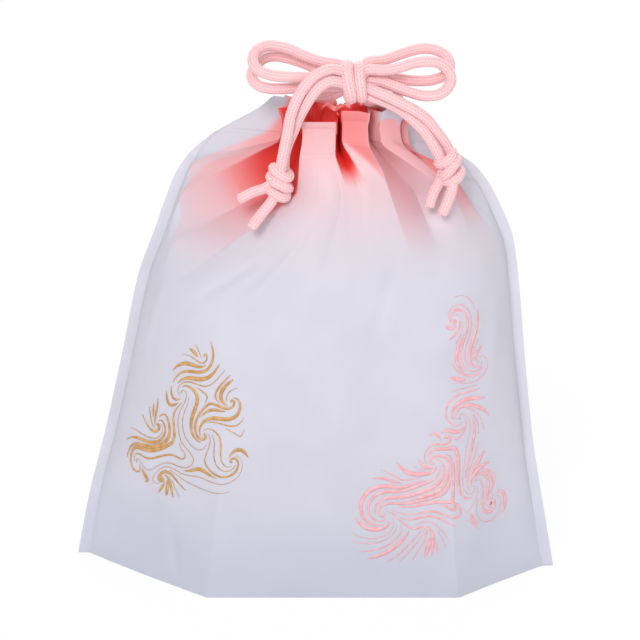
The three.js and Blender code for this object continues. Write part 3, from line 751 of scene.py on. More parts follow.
# Creases of the lying film, in millimetres from its middle line and its foot
FRONT_CREASES = (
    Crease((24, 206), (48, 191), 1.5, 2.2),
    Crease((-66, 0), (-72, 34), -1.1, 3.2),
    Crease((-72, 34), (-94, 66), 0.9, 4.0),
    Crease((-78, 4), (-66, 62), 0.7, 5.0),
    Crease((64, 0), (60, 40), -1.1, 3.0),
    Crease((78, 6), (84, 58), 0.7, 5.5),
    Crease((-84, 120), (-52, 158), -0.9, 4.0),
    Crease((-44, 128), (-30, 176), 0.8, 4.5),
    Crease((-8, 150), (2, 192), -0.6, 3.2),
    Crease((26, 118), (38, 162), -0.9, 4.0),
    Crease((52, 110), (84, 130), 0.9, 4.5),
    Crease((88, 84), (104, 142), 0.7, 5.0),
    Crease((-104, 96), (-96, 150), 0.8, 4.5),
)
BACK_CREASES = (
    Crease((-66, 0), (-70, 40), -1.0, 3.2),
    Crease((62, 0), (66, 44), -1.0, 3.2),
    Crease((-70, 110), (-50, 150), -0.9, 4.5),
    Crease((-20, 120), (-14, 170), 0.8, 4.0),
    Crease((18, 96), (12, 150), -0.8, 5.0),
    Crease((48, 118), (64, 156), 0.9, 4.5),
    Crease((90, 70), (104, 140), 0.7, 5.0),
    Crease((-100, 70), (-98, 140), 0.7, 5.0),
    Crease((-30, 40), (40, 60), 0.5, 9.0),
)


# Tint of the film behind and painted shade, darker and redder in the hollows: the deep hollows
# beside the wide left pleat and at the slit, the shallow ones right of it, the pleats' own
# doubled tops, and last a patch without tint at a pleat's top on the right, partly bare film
# that is turned out and partly a painted highlight on a facet that faces away from the lamps
FRONT_TINTS_AND_PAINTED_LIGHT = (
    LayerTintAndPaintedLight(-125, -115, (-16, -12, 205), 26, 0.45),
    LayerTintAndPaintedLight(-115, -90, (-13, -12, 193), 45, 1.0),
    LayerTintAndPaintedLight(-118, -89, (-16, -14, 190), 76, 0.32, soft=3),
    LayerTintAndPaintedLight(12.5, 27.5, (13, -21, 199), 20, 1.3),
    LayerTintAndPaintedLight(27.5, 47.5, (16, -25, 200), 46, 0.50, slanted=((24, 205), (48, 188))),
    LayerTintAndPaintedLight(27.5, 47.5, (22, -20, 226), 16, 0.24),
    LayerTintAndPaintedLight(47.5, 64, (36, -16, 192), 56, 0.23, soft=16),
    LayerTintAndPaintedLight(66, 77.5, (36, -14, 206), 40, 0.17),
    LayerTintAndPaintedLight(77.5, 88.75, (38, -16, 206), 50, 0.16),
    LayerTintAndPaintedLight(88.75, 116, (54, -8, 190), 36, 0.62, soft=6),
    # Untinted patch on a pleat's top: partly bare film turned out, partly a painted highlight on a facet turned
    # from the lamps
    LayerTintAndPaintedLight(72, 93, (40, -10, 222), 400, -1.0, slanted=((77.5, 216), (88.75, 211)), soft=3),
)
# The back's patches: the tint of the film behind, and painted shade in the hollows between its pleats
BACK_TINTS_AND_PAINTED_LIGHT = (
    LayerTintAndPaintedLight(-119, -112, (-16, 8, 204), 30, 0.35),
    LayerTintAndPaintedLight(-112, -69, (-8, 12, 196), 52, 0.85),
    LayerTintAndPaintedLight(-15, 15, (12, 14, 200), 26, 1.2),
    LayerTintAndPaintedLight(15, 52, (22, 18, 220), 24, 0.5),
    LayerTintAndPaintedLight(52, 92, (26, 14, 196), 46, 0.62, soft=8),
    LayerTintAndPaintedLight(92, 115, (38, 10, 192), 36, 0.5, soft=5),
)


@dataclass
class FilmPanel:
    """The front or the back film, with the casing's inner layer hemmed inside its mouth.

    The face's Y is a curve over the height. The rise of the hem and of the cords' line are
    curves over the angle round the mouth, from the left seam at 0 to the right one at 180.
    """

    side: Side
    folds: tuple[Fold, ...]
    creases: tuple[Crease, ...]
    face_y: Pairs
    corners: tuple[float, float]
    hem: Pairs
    cord_line: Pairs
    tints_and_painted_light: tuple[LayerTintAndPaintedLight, ...]
    column_mm: float = 1.15
    row_mm: float = 1.6
    wall: float = 0.5
    round_from_z: float = 2.0
    round_over: float = 95.0
    narrow_from_z: float = 120.0
    narrow_over: float = 90.0
    lip_angles: tuple[float, float] = (8.0, 172.0)
    lip_gap: float = 1.5
    crumple_mm: float = 1.1
    crumple_fades_over: float = 25.0
    hem_crown: float = 0.6
    hem_fold: float = 0.8
    pocket_depth: float = 9.0
    pocket_wall: float = 2.6
    pocket_from: float = 8.5
    hard_edge: float = 0.9
    slant_edge: float = 5.0
    long_wave: tuple[float, float] = (0.5, 46.0)
    short_wave: tuple[float, float] = (0.14, 19.0)
    seed: int = 3

    @property
    def sign(self) -> int:
        """The way that this film faces along Y."""
        return -1 if self.side is Side.FRONT else 1

    def seam_at(self, z: float) -> tuple[np.ndarray, np.ndarray]:
        """The left and the right seam's place, (x, y), at a height."""
        left = np.array([float(along(LEFT_SEAM, z)), LEFT_SEAM_Y])
        return left, np.array([float(along(RIGHT_SEAM, z)), float(along(RIGHT_SEAM_Y, z))])

    def section(self, z: float, count: int = 640) -> tuple[np.ndarray, np.ndarray]:
        """The smooth section at a height, without its folds.

        Formula: between the seams, the face stands out by a profile that is straight between
        the base's corners at the bottom and a full rounded one, (1 - |x|^p)^(1 / 1.9), higher
        up, mixed by an eased share of the height. The power p falls from 2.6 to 2 in the neck.

        Args:
            z: height.
            count: steps across.

        Returns:
            The points (x, y), and the share of the width that each lies at, from -1 to 1.
        """
        left, right = self.seam_at(z)
        face = float(along(self.face_y, z))
        base_left, base_right = self.seam_at(0)
        corner = [(x - base_left[0]) / (base_right[0] - base_left[0]) for x in self.corners]
        roundness = float(ease((z - self.round_from_z) / self.round_over))
        power = 2.6 - 0.6 * float(ease((z - self.narrow_from_z) / self.narrow_over))
        f = np.unique(np.concatenate([(1 - np.cos(np.linspace(0, math.pi, count))) / 2, corner]))
        straight = np.minimum(1, np.minimum(f / corner[0], (1 - f) / (1 - corner[1])))
        full = np.maximum(0, 1 - np.abs(2 * f - 1) ** power) ** (1 / 1.9)
        out = straight * (1 - roundness) + full * roundness
        seam_y = left[1] + (right[1] - left[1]) * f
        points = np.stack([left[0] + (right[0] - left[0]) * f, seam_y + (face - seam_y) * out], -1)
        return points, shares_along(points)

    def read(self, z: float, share: np.ndarray | float) -> np.ndarray:
        """Points (x, y) of the smooth section at shares of its width."""
        points, shares = self.section(z)
        return np.stack([np.interp(share, shares, points[:, i]) for i in (0, 1)], -1)

    def round_mouth(self, angle: np.ndarray | float, outside: np.ndarray | float) -> np.ndarray:
        """Places round the mouth's oval.

        Args:
            angle: angle from the left end, in degrees.
            outside: distance outside the cords' line, along the oval's normal.

        Returns:
            The places (x, y).
        """
        a = np.radians(angle)
        c, s = np.cos(a), np.sin(a)
        normal = unit(np.stack([-c / RING_HALF_X, self.sign * s / RING_HALF_Y], -1))
        ring = np.stack([MOUTH_X - RING_HALF_X * c, self.sign * RING_HALF_Y * s], -1)
        return ring + normal * np.asarray(outside)[..., None]

    def neck(self, angle: float, reach: float, z: float) -> np.ndarray:
        """Where a fold stands at the casing.

        Formula: its place outside the oval, moved away from the mouth's middle by a small
        flare times the squared distance above or below the cords.

        Args:
            angle: the fold's angle.
            reach: how far it stands out.
            z: height.

        Returns:
            The place (x, y).
        """
        p = self.round_mouth(angle, CORD_D / 2 + SEAT_GAP + FILM_WALL + reach)
        flare = 1 + FLARE * ((z - HEM_Z + CASING_HEIGHT / 2) / (CASING_HEIGHT / 2)) ** 2
        return np.array([MOUTH_X + (p[0] - MOUTH_X) * flare, p[1] * flare])

    def fold_at(self, fold: Fold, neck_share: float, z: float) -> tuple[float, np.ndarray | None]:
        """The share and place of a fold at a height.

        Formula: straight lines from where it dies, over its knee if it has one, to the casing.

        Args:
            fold: the fold.
            neck_share: the share of the width that it lies at in the neck.
            z: height.

        Returns:
            Its share and its place (x, y), which is None where the face is smooth.
        """
        if z >= CASING_FOOT:
            return neck_share, self.neck(fold.angle, fold.reach, z)
        share, foot_z = fold.dies
        if z <= foot_z:
            return share, None
        top, foot = self.neck(fold.angle, fold.reach, CASING_FOOT), self.read(foot_z, share)
        stops = [(foot_z, *foot, share), (CASING_FOOT, *top, neck_share)]
        if fold.knee:
            stops.insert(1, (fold.knee[2], fold.knee[0], fold.knee[1], fold.knee_share))
        heights, *values = np.array(stops).T
        x, y, share = (np.interp(z, heights, value) for value in values)
        return float(share), np.array([x, y])

    def columns(self) -> tuple[np.ndarray, np.ndarray, np.ndarray, np.ndarray]:
        """How the film's width is divided into columns, at even steps between two folds.

        Returns:
            For each column: which folds it lies between, how far, its angle, its flat place.
        """
        low = np.array([-1.0, *[f.dies[0] for f in self.folds], 1.0])
        angles = np.array([0.0, *[f.angle for f in self.folds], 180.0])
        part, share, turn, flat = [], [], [], []
        for k in range(len(low) - 1):
            steps = max(4, math.ceil((low[k + 1] - low[k]) * FLAT_HALF / self.column_mm))
            t = np.arange(steps + (k == len(low) - 2)) / steps
            part.append(np.full(len(t), k))
            share.append(t)
            turn.append(angles[k] + (angles[k + 1] - angles[k]) * t)
            flat.append((low[k] + (low[k + 1] - low[k]) * t) * FLAT_HALF)
        return tuple(np.concatenate(x) for x in (part, share, turn, flat))

    def neck_shares(self) -> np.ndarray:
        """Where the folds lie in the neck.

        Returns:
            Shares of the gathered width, from -1 to 1, of the left seam, each fold and the right
            seam.
        """
        left, right = self.seam_at(HEM_Z)
        places = [self.neck(f.angle, f.reach, HEM_Z) for f in self.folds]
        return shares_along(np.array([left, *places, right]))

    def row(self, z: float, layout: tuple, necks: np.ndarray) -> np.ndarray:
        """One row of the film: the smooth section carried over to the folds.

        Formula: each fold's shift from the smooth section is spread in a straight line
        between it and the next one, and added to the smooth section.

        Args:
            z: height.
            layout: what columns gives.
            necks: what neck_shares gives.

        Returns:
            The row's points.
        """
        part, share, turn, _ = layout
        stops, shifts = [-1.0], [np.zeros(2)]
        for i, fold in enumerate(self.folds):
            at, place = self.fold_at(fold, necks[i + 1], z)
            stops.append(at)
            shifts.append(np.zeros(2) if place is None else place - self.read(z, at))
        stops, shifts = np.array([*stops, 1.0]), np.array([*shifts, np.zeros(2)])
        where = stops[part] + (stops[part + 1] - stops[part]) * share
        shift = shifts[part] + (shifts[part + 1] - shifts[part]) * share[:, None]
        flat = self.read(z, where) + shift
        return np.concatenate([flat, (z + float(gathered(z)) * along(self.hem, turn))[:, None]], 1)

    def lip(self, top: np.ndarray, turn: np.ndarray) -> tuple[np.ndarray, np.ndarray]:
        """The hem's top fold and the casing's inner layer, which hangs inside the cords.

        Formula: each column runs from the hem's edge to the inside of the cords' ring. On the
        way it rises over a soft uneven fold, dips into its pleat by a share of that run, and
        sinks from the hem's rise to the cords' line. Then it goes down the inner layer, whose
        crumples are waves of the angle round the mouth.

        Args:
            top: the outer film's top row.
            turn: each column's angle round the mouth.

        Returns:
            Rows of points, and each row's flat height.
        """
        first, last = self.lip_angles
        held = np.clip(turn, first, last)
        a = np.radians(held)
        wave = 0.55 * np.sin(a * 11 + self.seed) + 0.45 * np.sin(a * 27 + 2 * self.seed)
        fades = ease((held - first) / self.crumple_fades_over) * ease((last - held) / self.crumple_fades_over)
        crumple = self.crumple_mm * (1 + wave) * fades
        ring = -CORD_D / 2 - self.lip_gap
        inside = self.round_mouth(held, ring - crumple)
        height = HEM_Z + along(self.hem, turn)
        run = np.linalg.norm(inside - top[:, :2], axis=1)
        pleat = np.clip(1 - (CORD_D + self.pocket_wall + crumple) / run, 0, 0.9)
        dip = np.minimum(self.pocket_depth, 0.9 * np.maximum(run - self.pocket_from, 0))
        sunk = along(self.hem, turn) - along(self.cord_line, turn)
        rows, heights = [], []
        for s in (0.02, 0.06, 0.12, 0.2, 0.3, 0.4, 0.5, 0.6, 0.7, 0.8, 0.9, 0.97):
            into = np.clip(s / np.maximum(pleat, 0.05), 0, 1)
            drop = dip * np.sin(math.pi * into) ** 0.6 * (pleat > 0.15)
            crown = self.hem_crown * math.sin(math.pi * min(s / 0.1, 1)) - 0.1
            uneven = 1 + ripple(turn, 46 * s, 15, self.seed + 4)
            fold = self.hem_fold * uneven * float(ease((s - 0.12) / 0.2))
            across = top[:, :2] + (inside - top[:, :2]) * s
            rows.append(np.column_stack([across, height - drop + crown + fold - sunk * ease(s / 0.6)]))
            heights.append(HEM_Z)
        for down in (1.2, 4, 7, 10, 13, CASING_HEIGHT):
            hanging = self.round_mouth(held, ring - crumple * (1 + 0.25 * math.sin(down)))
            rows.append(np.column_stack([hanging, height - down - sunk]))
            heights.append(HEM_Z + down)
        return np.array(rows), np.array(heights)

    def creased(self, grid: np.ndarray, flat: np.ndarray, heights: np.ndarray) -> np.ndarray:
        """The film's dents and creases, along its normals.

        Formula: each crease is its rise times e to the minus squared distance over width,
        and long soft waves are added where the film hangs free of its seams and its foot.

        Args:
            grid: the film's points, without creases.
            flat: each column's place across the flat film.
            heights: each row's height on it.

        Returns:
            The points with creases.
        """
        u, v = np.broadcast_arrays(flat[None, :], heights[:, None])
        (long_rise, long_mm), (short_rise, short_mm) = self.long_wave, self.short_wave
        waves = long_rise * ripple(u, v, long_mm, self.seed)
        waves = waves + short_rise * ripple(u, v * 0.6, short_mm, self.seed + 1)
        rise = waves * ease((175 - v) / 30)
        for c in self.creases:
            a, b = np.array(c.start, float), np.array(c.end, float)
            span = b - a
            t = np.clip(((u - a[0]) * span[0] + (v - a[1]) * span[1]) / span.dot(span), 0, 1)
            gap = np.hypot(u - a[0] - t * span[0], v - a[1] - t * span[1])
            rise = rise + c.rise * np.exp(-((gap / c.width) ** 2)) * np.sin(math.pi * np.clip(t, 0.06, 0.94))
        free = ease((FLAT_HALF - np.abs(u)) / 10) * ease(v / 9) * (1 - 0.75 * ease((v - 186) / 12))
        free = free * (1 - 0.35 * ease((30 - v) / 30))
        return grid + normals_of(grid) * (rise * free)[..., None] * self.outwards(grid)

    def outwards(self, grid: np.ndarray) -> float:
        """1 or -1, so that the grid's normals times it face away from the pouch."""
        middle = normals_of(grid)[grid.shape[0] // 3, grid.shape[1] // 2]
        return 1.0 if middle[1] * self.sign > 0 else -1.0

    def build(self) -> tuple[Surface, "FilmMap"]:
        """Builds the film from its foot to the inner layer's lower edge.

        Returns:
            The film's closed sheet, and a map from the flat film to its outer face.
        """
        layout = self.columns()
        flat, turn = layout[3], layout[2]
        necks = self.neck_shares()
        rows = math.ceil(HEM_Z / self.row_mm)
        heights = np.linspace(0, HEM_Z, rows + 1)
        grid = np.array([self.row(z, layout, necks) for z in heights])
        grid = grid + (blur(grid, 0, 1) - grid) * ease(heights / 12)[:, None, None]
        grid = self.creased(grid, flat, heights)
        # The mark: the tint of film behind, and painted shade in the hollows between the pleats
        glow = self.layer_tint_and_painted_light(grid, flat, heights)
        lip, lip_heights = self.lip(grid[-1], turn)
        whole = np.concatenate([grid, lip])
        whole[rows - 1:] = blur(whole[rows - 1:], 0, 1)
        points, faces = thickened(whole, normals_of(whole) * self.outwards(grid), self.wall)
        u, v = np.broadcast_arrays(flat[None, :], np.concatenate([heights, lip_heights])[:, None])
        uv = np.stack([u, v], -1).reshape(-1, 2) / UV_UNIT
        # The casing's inner layer, down in the mouth, takes the mark up to its reddest: partly the tint of
        # stacked film, partly painted shade inside the mouth
        inner = np.interp(np.arange(len(lip)), [0, 2, 5, len(lip)], [0, 0.2, 1, 1])[:, None]
        deep_tint_and_shade = np.concatenate([glow, glow[-1:] + (1 - glow[-1:]) * inner]).ravel()
        marks = {"layer_tint_and_painted_light": np.concatenate([deep_tint_and_shade, deep_tint_and_shade])}
        surface = Surface(points, faces, np.concatenate([uv, uv]), marks)
        return surface, FilmMap(flat, heights, grid, normals_of(grid) * self.outwards(grid))

    def layer_tint_and_painted_light(self, grid: np.ndarray, flat: np.ndarray, heights: np.ndarray) -> np.ndarray:
        """How much tint of the film behind, and how much painted shade, each place shows.

        Formula: the greatest of the patches. Each is its depth times one less the eased share
        of its size that the place is away from its heart. One with a depth below nothing
        marks film without its tint: partly bare film, and partly a painted highlight.

        Args:
            grid: the film's points.
            flat: each column's place across the flat film.
            heights: each row's height on it.

        Returns:
            0 to 1, or down to -1 where the film is without its tint and painted lighter.
        """
        most, bare = np.zeros(grid.shape[:2]), np.zeros(grid.shape[:2])
        for glow in self.tints_and_painted_light:
            gap = grid - np.array(glow.heart)
            gap[..., 2] = np.minimum(gap[..., 2], 0) if glow.heart[2] < HEM_Z else gap[..., 2]
            share = 1 - ease(np.linalg.norm(gap, axis=-1) / glow.size)
            first, last = (flat - glow.low) / self.hard_edge, (glow.high - flat) / glow.soft
            value = glow.depth * share * (ease(first + 0.5) * ease(last + 0.5))[None, :]
            if glow.slanted:
                (u, v), (u_end, v_end) = glow.slanted
                line = v + (flat - u) * (v_end - v) / (u_end - u)
                value = value * ease((heights[:, None] - line[None, :]) / self.slant_edge + 0.5)
            if glow.depth < 0:
                bare = np.maximum(bare, -value)
            else:
                most = np.maximum(most, value)
        return np.clip(most, 0, 1) * (1 - bare) - bare


@dataclass
class FilmMap:
    """Carries places on the flat film to its outer face."""

    flat: np.ndarray
    heights: np.ndarray
    grid: np.ndarray
    normals: np.ndarray

    def place(self, u: np.ndarray, v: np.ndarray, lift: float) -> np.ndarray:
        """Points on the film, mixed from the four grid points round each place.

        Args:
            u: places across the flat film.
            v: heights on it.
            lift: how far off the outer face the points lie.

        Returns:
            The points.
        """
        c = np.clip(np.searchsorted(self.flat, u) - 1, 0, len(self.flat) - 2)
        r = np.clip(np.searchsorted(self.heights, v) - 1, 0, len(self.heights) - 2)
        s = ((u - self.flat[c]) / (self.flat[c + 1] - self.flat[c]))[..., None]
        t = ((v - self.heights[r]) / (self.heights[r + 1] - self.heights[r]))[..., None]

        def mixed(values: np.ndarray) -> np.ndarray:
            """One grid's values at those places."""
            low = values[r, c] * (1 - s) + values[r, c + 1] * s
            return low * (1 - t) + (values[r + 1, c] * (1 - s) + values[r + 1, c + 1] * s) * t

        return mixed(self.grid) + unit(mixed(self.normals)) * lift


@dataclass
class BottomGusset:
    """The gusset, opened into the base: a flat floor, and a slope up to each side seam."""

    wall: float = 0.4
    across: int = 36
    inset: float = 1.2
    peak_inset: float = 2.4
    peak_half: float = 0.6
    slope_steps: int = 26
    floor_steps: int = 50
    sag: float = 0.35
    sag_length: float = 38.0
    sag_from: float = 3.0

    def floor(self) -> Surface:
        """The floor with its two slopes, as one sheet through stations from seam to seam.

        Formula: both edges are straight between a slope's peak, the base's two corners and the
        other slope's peak. The sheet is straight across from the front edge to the back one,
        raised by soft waves that fade towards the floor.

        Returns:
            The closed sheet.
        """
        peaks = [np.array([float(along(LEFT_SEAM, GUSSET_PEAK_Z)) + self.peak_inset, LEFT_SEAM_Y]),
                 np.array([float(along(RIGHT_SEAM, GUSSET_PEAK_Z)) - self.peak_inset,
                           float(along(RIGHT_SEAM_Y, GUSSET_PEAK_Z))])]
        stops = np.array([0.0, 1.0, 3.0, 4.0])
        at = np.concatenate([
            np.linspace(0, 1, self.slope_steps)[:-1],
            np.linspace(1, 3, self.floor_steps)[:-1],
            np.linspace(3, 4, self.slope_steps),
        ])
        edges = []
        for way, corners in ((-1, FRONT_CORNERS), (1, BACK_CORNERS)):
            y = way * (BASE_Y - self.inset)
            ends = [peak + [0, way * self.peak_half] for peak in peaks]
            line = np.array([ends[0], [corners[0] + self.inset, y], [corners[1] - self.inset, y], ends[1]])
            edges.append(np.stack([np.interp(at, stops, line[:, i]) for i in (0, 1)], -1)[:, None, :])
        t = np.linspace(0, 1, self.across)[None, :, None]
        plan = edges[0] + (edges[1] - edges[0]) * t
        height = np.interp(at, stops, [GUSSET_PEAK_Z, 0, 0, GUSSET_PEAK_Z])
        z = np.repeat(height[:, None], self.across, 1) + self.wall
        waves = 1 + ripple(plan[..., 0], plan[..., 1], self.sag_length, 11)
        sag = self.sag * waves * ease(z / self.sag_from)
        grid = np.concatenate([plan, (z + sag)[..., None]], -1)
        normals = normals_of(grid)
        normals = normals if normals[len(at) // 2, self.across // 2, 2] > 0 else -normals
        points, faces = thickened(grid, normals, self.wall)
        uv = np.concatenate([plan.reshape(-1, 2), plan.reshape(-1, 2)]) / UV_UNIT
        return Surface(points, faces, uv * [1, 0.3], {"layer_tint_and_painted_light": np.zeros(len(points))})


@dataclass
class SideSeal:
    """Both films welded flat along a side, pressed by a heated bar with a dotted face."""

    end: End
    steps: int = 260
    across: int = 14
    overlap: float = 0.5
    beyond: float = 0.6
    neck_share: float = 1 / 3
    runs_out_over: float = 16.0
    dot_pitch: float = 2.4
    dot_depth: float = 0.14
    dot_place: float = 0.3
    dot_spread: float = 0.13
    thinning: float = 0.25
    waviness: float = 0.35
    wave_length: float = 30.0

    def build(self) -> Surface:
        """The seal as a closed strip.

        Formula: out from the seam along its normal, by a width that shrinks in the neck and
        runs out below the casing, with a row of pressed dots, whose depth is the product of a
        cosine along and a bell across, on both faces.

        Returns:
            The closed strip.
        """
        left = self.end is End.LEFT
        z = np.linspace(0, CASING_FOOT - self.overlap, self.steps)
        y = np.full(self.steps, LEFT_SEAM_Y) if left else along(RIGHT_SEAM_Y, z)
        rise = gathered(z) * HEM_RISE[self.end]
        line = np.column_stack([along(LEFT_SEAM if left else RIGHT_SEAM, z), y, z + rise])
        run = np.gradient(line, axis=0)
        out = unit(np.column_stack([-run[:, 2], np.zeros(self.steps), run[:, 0]]))
        out = out if left else -out
        out[0] = [self.end.value, 0, 0]
        narrowed = ease((z - GATHER_FROM_Z) / (CASING_FOOT - GATHER_FROM_Z) * 2 - 1)
        width = FIN_WIDTH * (1 - (1 - self.neck_share) * narrowed)
        width = width * (0.02 + 0.98 * ease((CASING_FOOT + 2 - z) / self.runs_out_over))
        share = np.linspace(0, 1, self.across)
        reach = -self.overlap + (width[:, None] + self.beyond) * share[None, :]
        middle = line[:, None, :] + out[:, None, :] * reach[..., None]
        wave = self.waviness * ripple(z, z * 0, self.wave_length, 5 + self.end.value)
        middle[..., 1] += wave[:, None] * share[None, :]
        pressed = np.maximum(0, np.cos(2 * math.pi * z / self.dot_pitch))[:, None]
        bell = np.exp(-((share - self.dot_place) / self.dot_spread) ** 2)
        dots = self.dot_depth * pressed * bell[None, :]
        half = (FIN_THICKNESS / 2 - self.thinning * share[None, :] - dots)[..., None] * np.array([0, -1.0, 0])
        points = np.concatenate([(middle + half).reshape(-1, 3), (middle - half).reshape(-1, 3)])
        faces = closed_faces(*middle.shape[:2])
        faces = faces[:, ::-1] if left else faces
        flat = np.stack(np.broadcast_arrays(FLAT_HALF, z[:, None] + reach * 0), -1).reshape(-1, 2)
        uv = np.concatenate([flat, flat]) / UV_UNIT
        return Surface(points, faces.tolist(), uv, {"layer_tint_and_painted_light": np.zeros(len(points))})


def spline(points: np.ndarray, per_span: int = 24) -> np.ndarray:
    """A smooth curve through points.

    Formula: the centripetal Catmull-Rom curve, whose knots are spaced by the square root of
    the distance between points, by three rounds of straight mixes.

    Args:
        points: the places it goes through.
        per_span: steps between two of them.

    Returns:
        Points along it.
    """
    p = np.vstack([2 * points[0] - points[1], points, 2 * points[-1] - points[-2]])
    k = np.concatenate([[0], np.cumsum(np.sqrt(np.linalg.norm(np.diff(p, axis=0), axis=1)))])
    spans = []
    for i in range(1, len(p) - 2):
        t = np.linspace(k[i], k[i + 1], per_span, endpoint=False)[:, None]
        q = p[i - 1:i + 3]
        s = k[i - 1:i + 3]
        for pairs in (((0, 1), (1, 2), (2, 3)), ((0, 2), (1, 3)), ((1, 2),)):
            q = [(s[b] - t) / (s[b] - s[a]) * q[j] + (t - s[a]) / (s[b] - s[a]) * q[j + 1]
                 for j, (a, b) in enumerate(pairs)]
        spans.append(q[0])
    return np.vstack([*spans, points[-1:]])


def evened(line: np.ndarray, step: float) -> np.ndarray:
    """A line's points taken again at even steps.

    Args:
        line: its points.
        step: about how far apart the new ones are to be.

    Returns:
        The new points, the first and the last among them.
    """
    run = np.concatenate([[0], np.cumsum(np.linalg.norm(np.diff(line, axis=0), axis=1))])
    at = np.linspace(0, run[-1], max(2, round(run[-1] / step)) + 1)
    return np.stack([np.interp(at, run, line[:, i]) for i in range(3)], -1)


def carried_frame(line: np.ndarray, closed: bool) -> tuple[np.ndarray, np.ndarray]:
    """Two directions across a line, carried along it without twist.

    Args:
        line: its points.
        closed: True if the last point is next to the first.

    Returns:
        The first and the second direction at each point; a closed line's leftover turn is
        spread evenly over it.
    """
    ahead = np.roll(line, -1, 0) - np.roll(line, 1, 0)
    if not closed:
        ahead = np.gradient(line, axis=0)
    ahead = unit(ahead)
    start = np.cross(ahead[0], [0.21, 0.35, 0.91])
    first = [start / np.linalg.norm(start)]
    for direction in ahead[1:]:
        side = first[-1] - direction * first[-1].dot(direction)
        first.append(side / np.linalg.norm(side))
    first = np.array(first)
    second = np.cross(ahead, first)
    if closed:
        back = first[-1] - ahead[0] * first[-1].dot(ahead[0])
        left = math.atan2(back.dot(second[0]), back.dot(first[0]))
        a = (-left * np.arange(len(line)) / len(line))[:, None]
        first, second = first * np.cos(a) + second * np.sin(a), second * np.cos(a) - first * np.sin(a)
    return first, second


@dataclass
class Braid:
    """A length of braided cord along a line, in millimetres."""

    line: np.ndarray
    closed: bool = False
    diameter: float = CORD_D
    sides: int = 40
    step: float = 0.34
    lean: float = 1.15
    slip: float = 0.22
    slip_every: float = 30.0
    cut_round: float = 1.1

    def surface(self) -> Surface:
        """The cord's skin with its stitches.

        Formula: the radius is half the diameter less the braid's depth times one minus the
        crown. The crown is a raised cosine along a stitch, whose phase leans one way in even
        columns and the other way in odd ones and slips slowly back and forth along the cord,
        times the root of a cosine across the column. Both open ends draw in to a soft rounded
        cut.

        Returns:
            The closed surface, with the crown as a mark and its own coordinates.
        """
        line = evened(self.line, self.step)
        if self.closed:
            line = line[:-1]
        n = len(line)
        first, second = carried_frame(line, self.closed)
        along_mm = np.arange(n) * self.step
        length = n * self.step
        pitch = length / max(1, round(length / BRAID_PITCH)) if self.closed else BRAID_PITCH
        around = np.arange(self.sides) / self.sides
        column = np.floor(around * BRAID_COLUMNS)
        local = around * BRAID_COLUMNS - column - 0.5
        lean = np.where(column % 2 == 0, 1.0, -1.0) * local * self.lean
        slips = along_mm[:, None] / length * (length // self.slip_every + 1)
        slip = self.slip * np.sin(2 * math.pi * (slips + column * 0.37))
        phase = along_mm[:, None] / pitch + lean[None, :] + slip
        stitch = 0.5 + 0.5 * np.cos(2 * math.pi * phase)
        crown = stitch ** 0.75 * np.sqrt(np.maximum(0, np.cos(math.pi * local)))[None, :]
        radius = self.diameter / 2 - BRAID_DEPTH * (1 - crown)
        if not self.closed:
            to_end = np.minimum(along_mm, along_mm[-1] - along_mm)
            radius = radius * np.sqrt(1 - (1 - np.clip(to_end / self.cut_round, 0.12, 1)) ** 2)[:, None]
        angle = 2 * math.pi * around[None, :, None]
        points = line[:, None, :] + radius[..., None] * (
            first[:, None, :] * np.cos(angle) + second[:, None, :] * np.sin(angle))
        points = points.reshape(-1, 3)
        uv = np.stack(np.broadcast_arrays(around[None, :], along_mm[:, None] / CORD_UV_UNIT), -1)
        uv = uv.reshape(-1, 2)
        quads = grid_faces(n, self.sides, wrap=True)
        ring, top = np.arange(self.sides), (n - 1) * self.sides
        nxt = (ring + 1) % self.sides
        if self.closed:
            seam = np.stack([top + ring, top + nxt, nxt, ring], -1)
            return Surface(points, np.concatenate([quads, seam]).tolist(), uv, {"crown": crown.ravel()})
        start, end = n * self.sides, n * self.sides + 1
        caps = [[start, int(b), int(a)] for a, b in zip(ring, nxt)]
        caps += [[end, int(top + a), int(top + b)] for a, b in zip(ring, nxt)]
        marks = {"crown": np.concatenate([crown.ravel(), [0.2, 0.2]])}
        uv = np.concatenate([uv, [[0.5, 0], [0.5, along_mm[-1] / CORD_UV_UNIT]]])
        return Surface(np.concatenate([points, line[[0, -1]]]), quads.tolist() + caps, uv, marks)


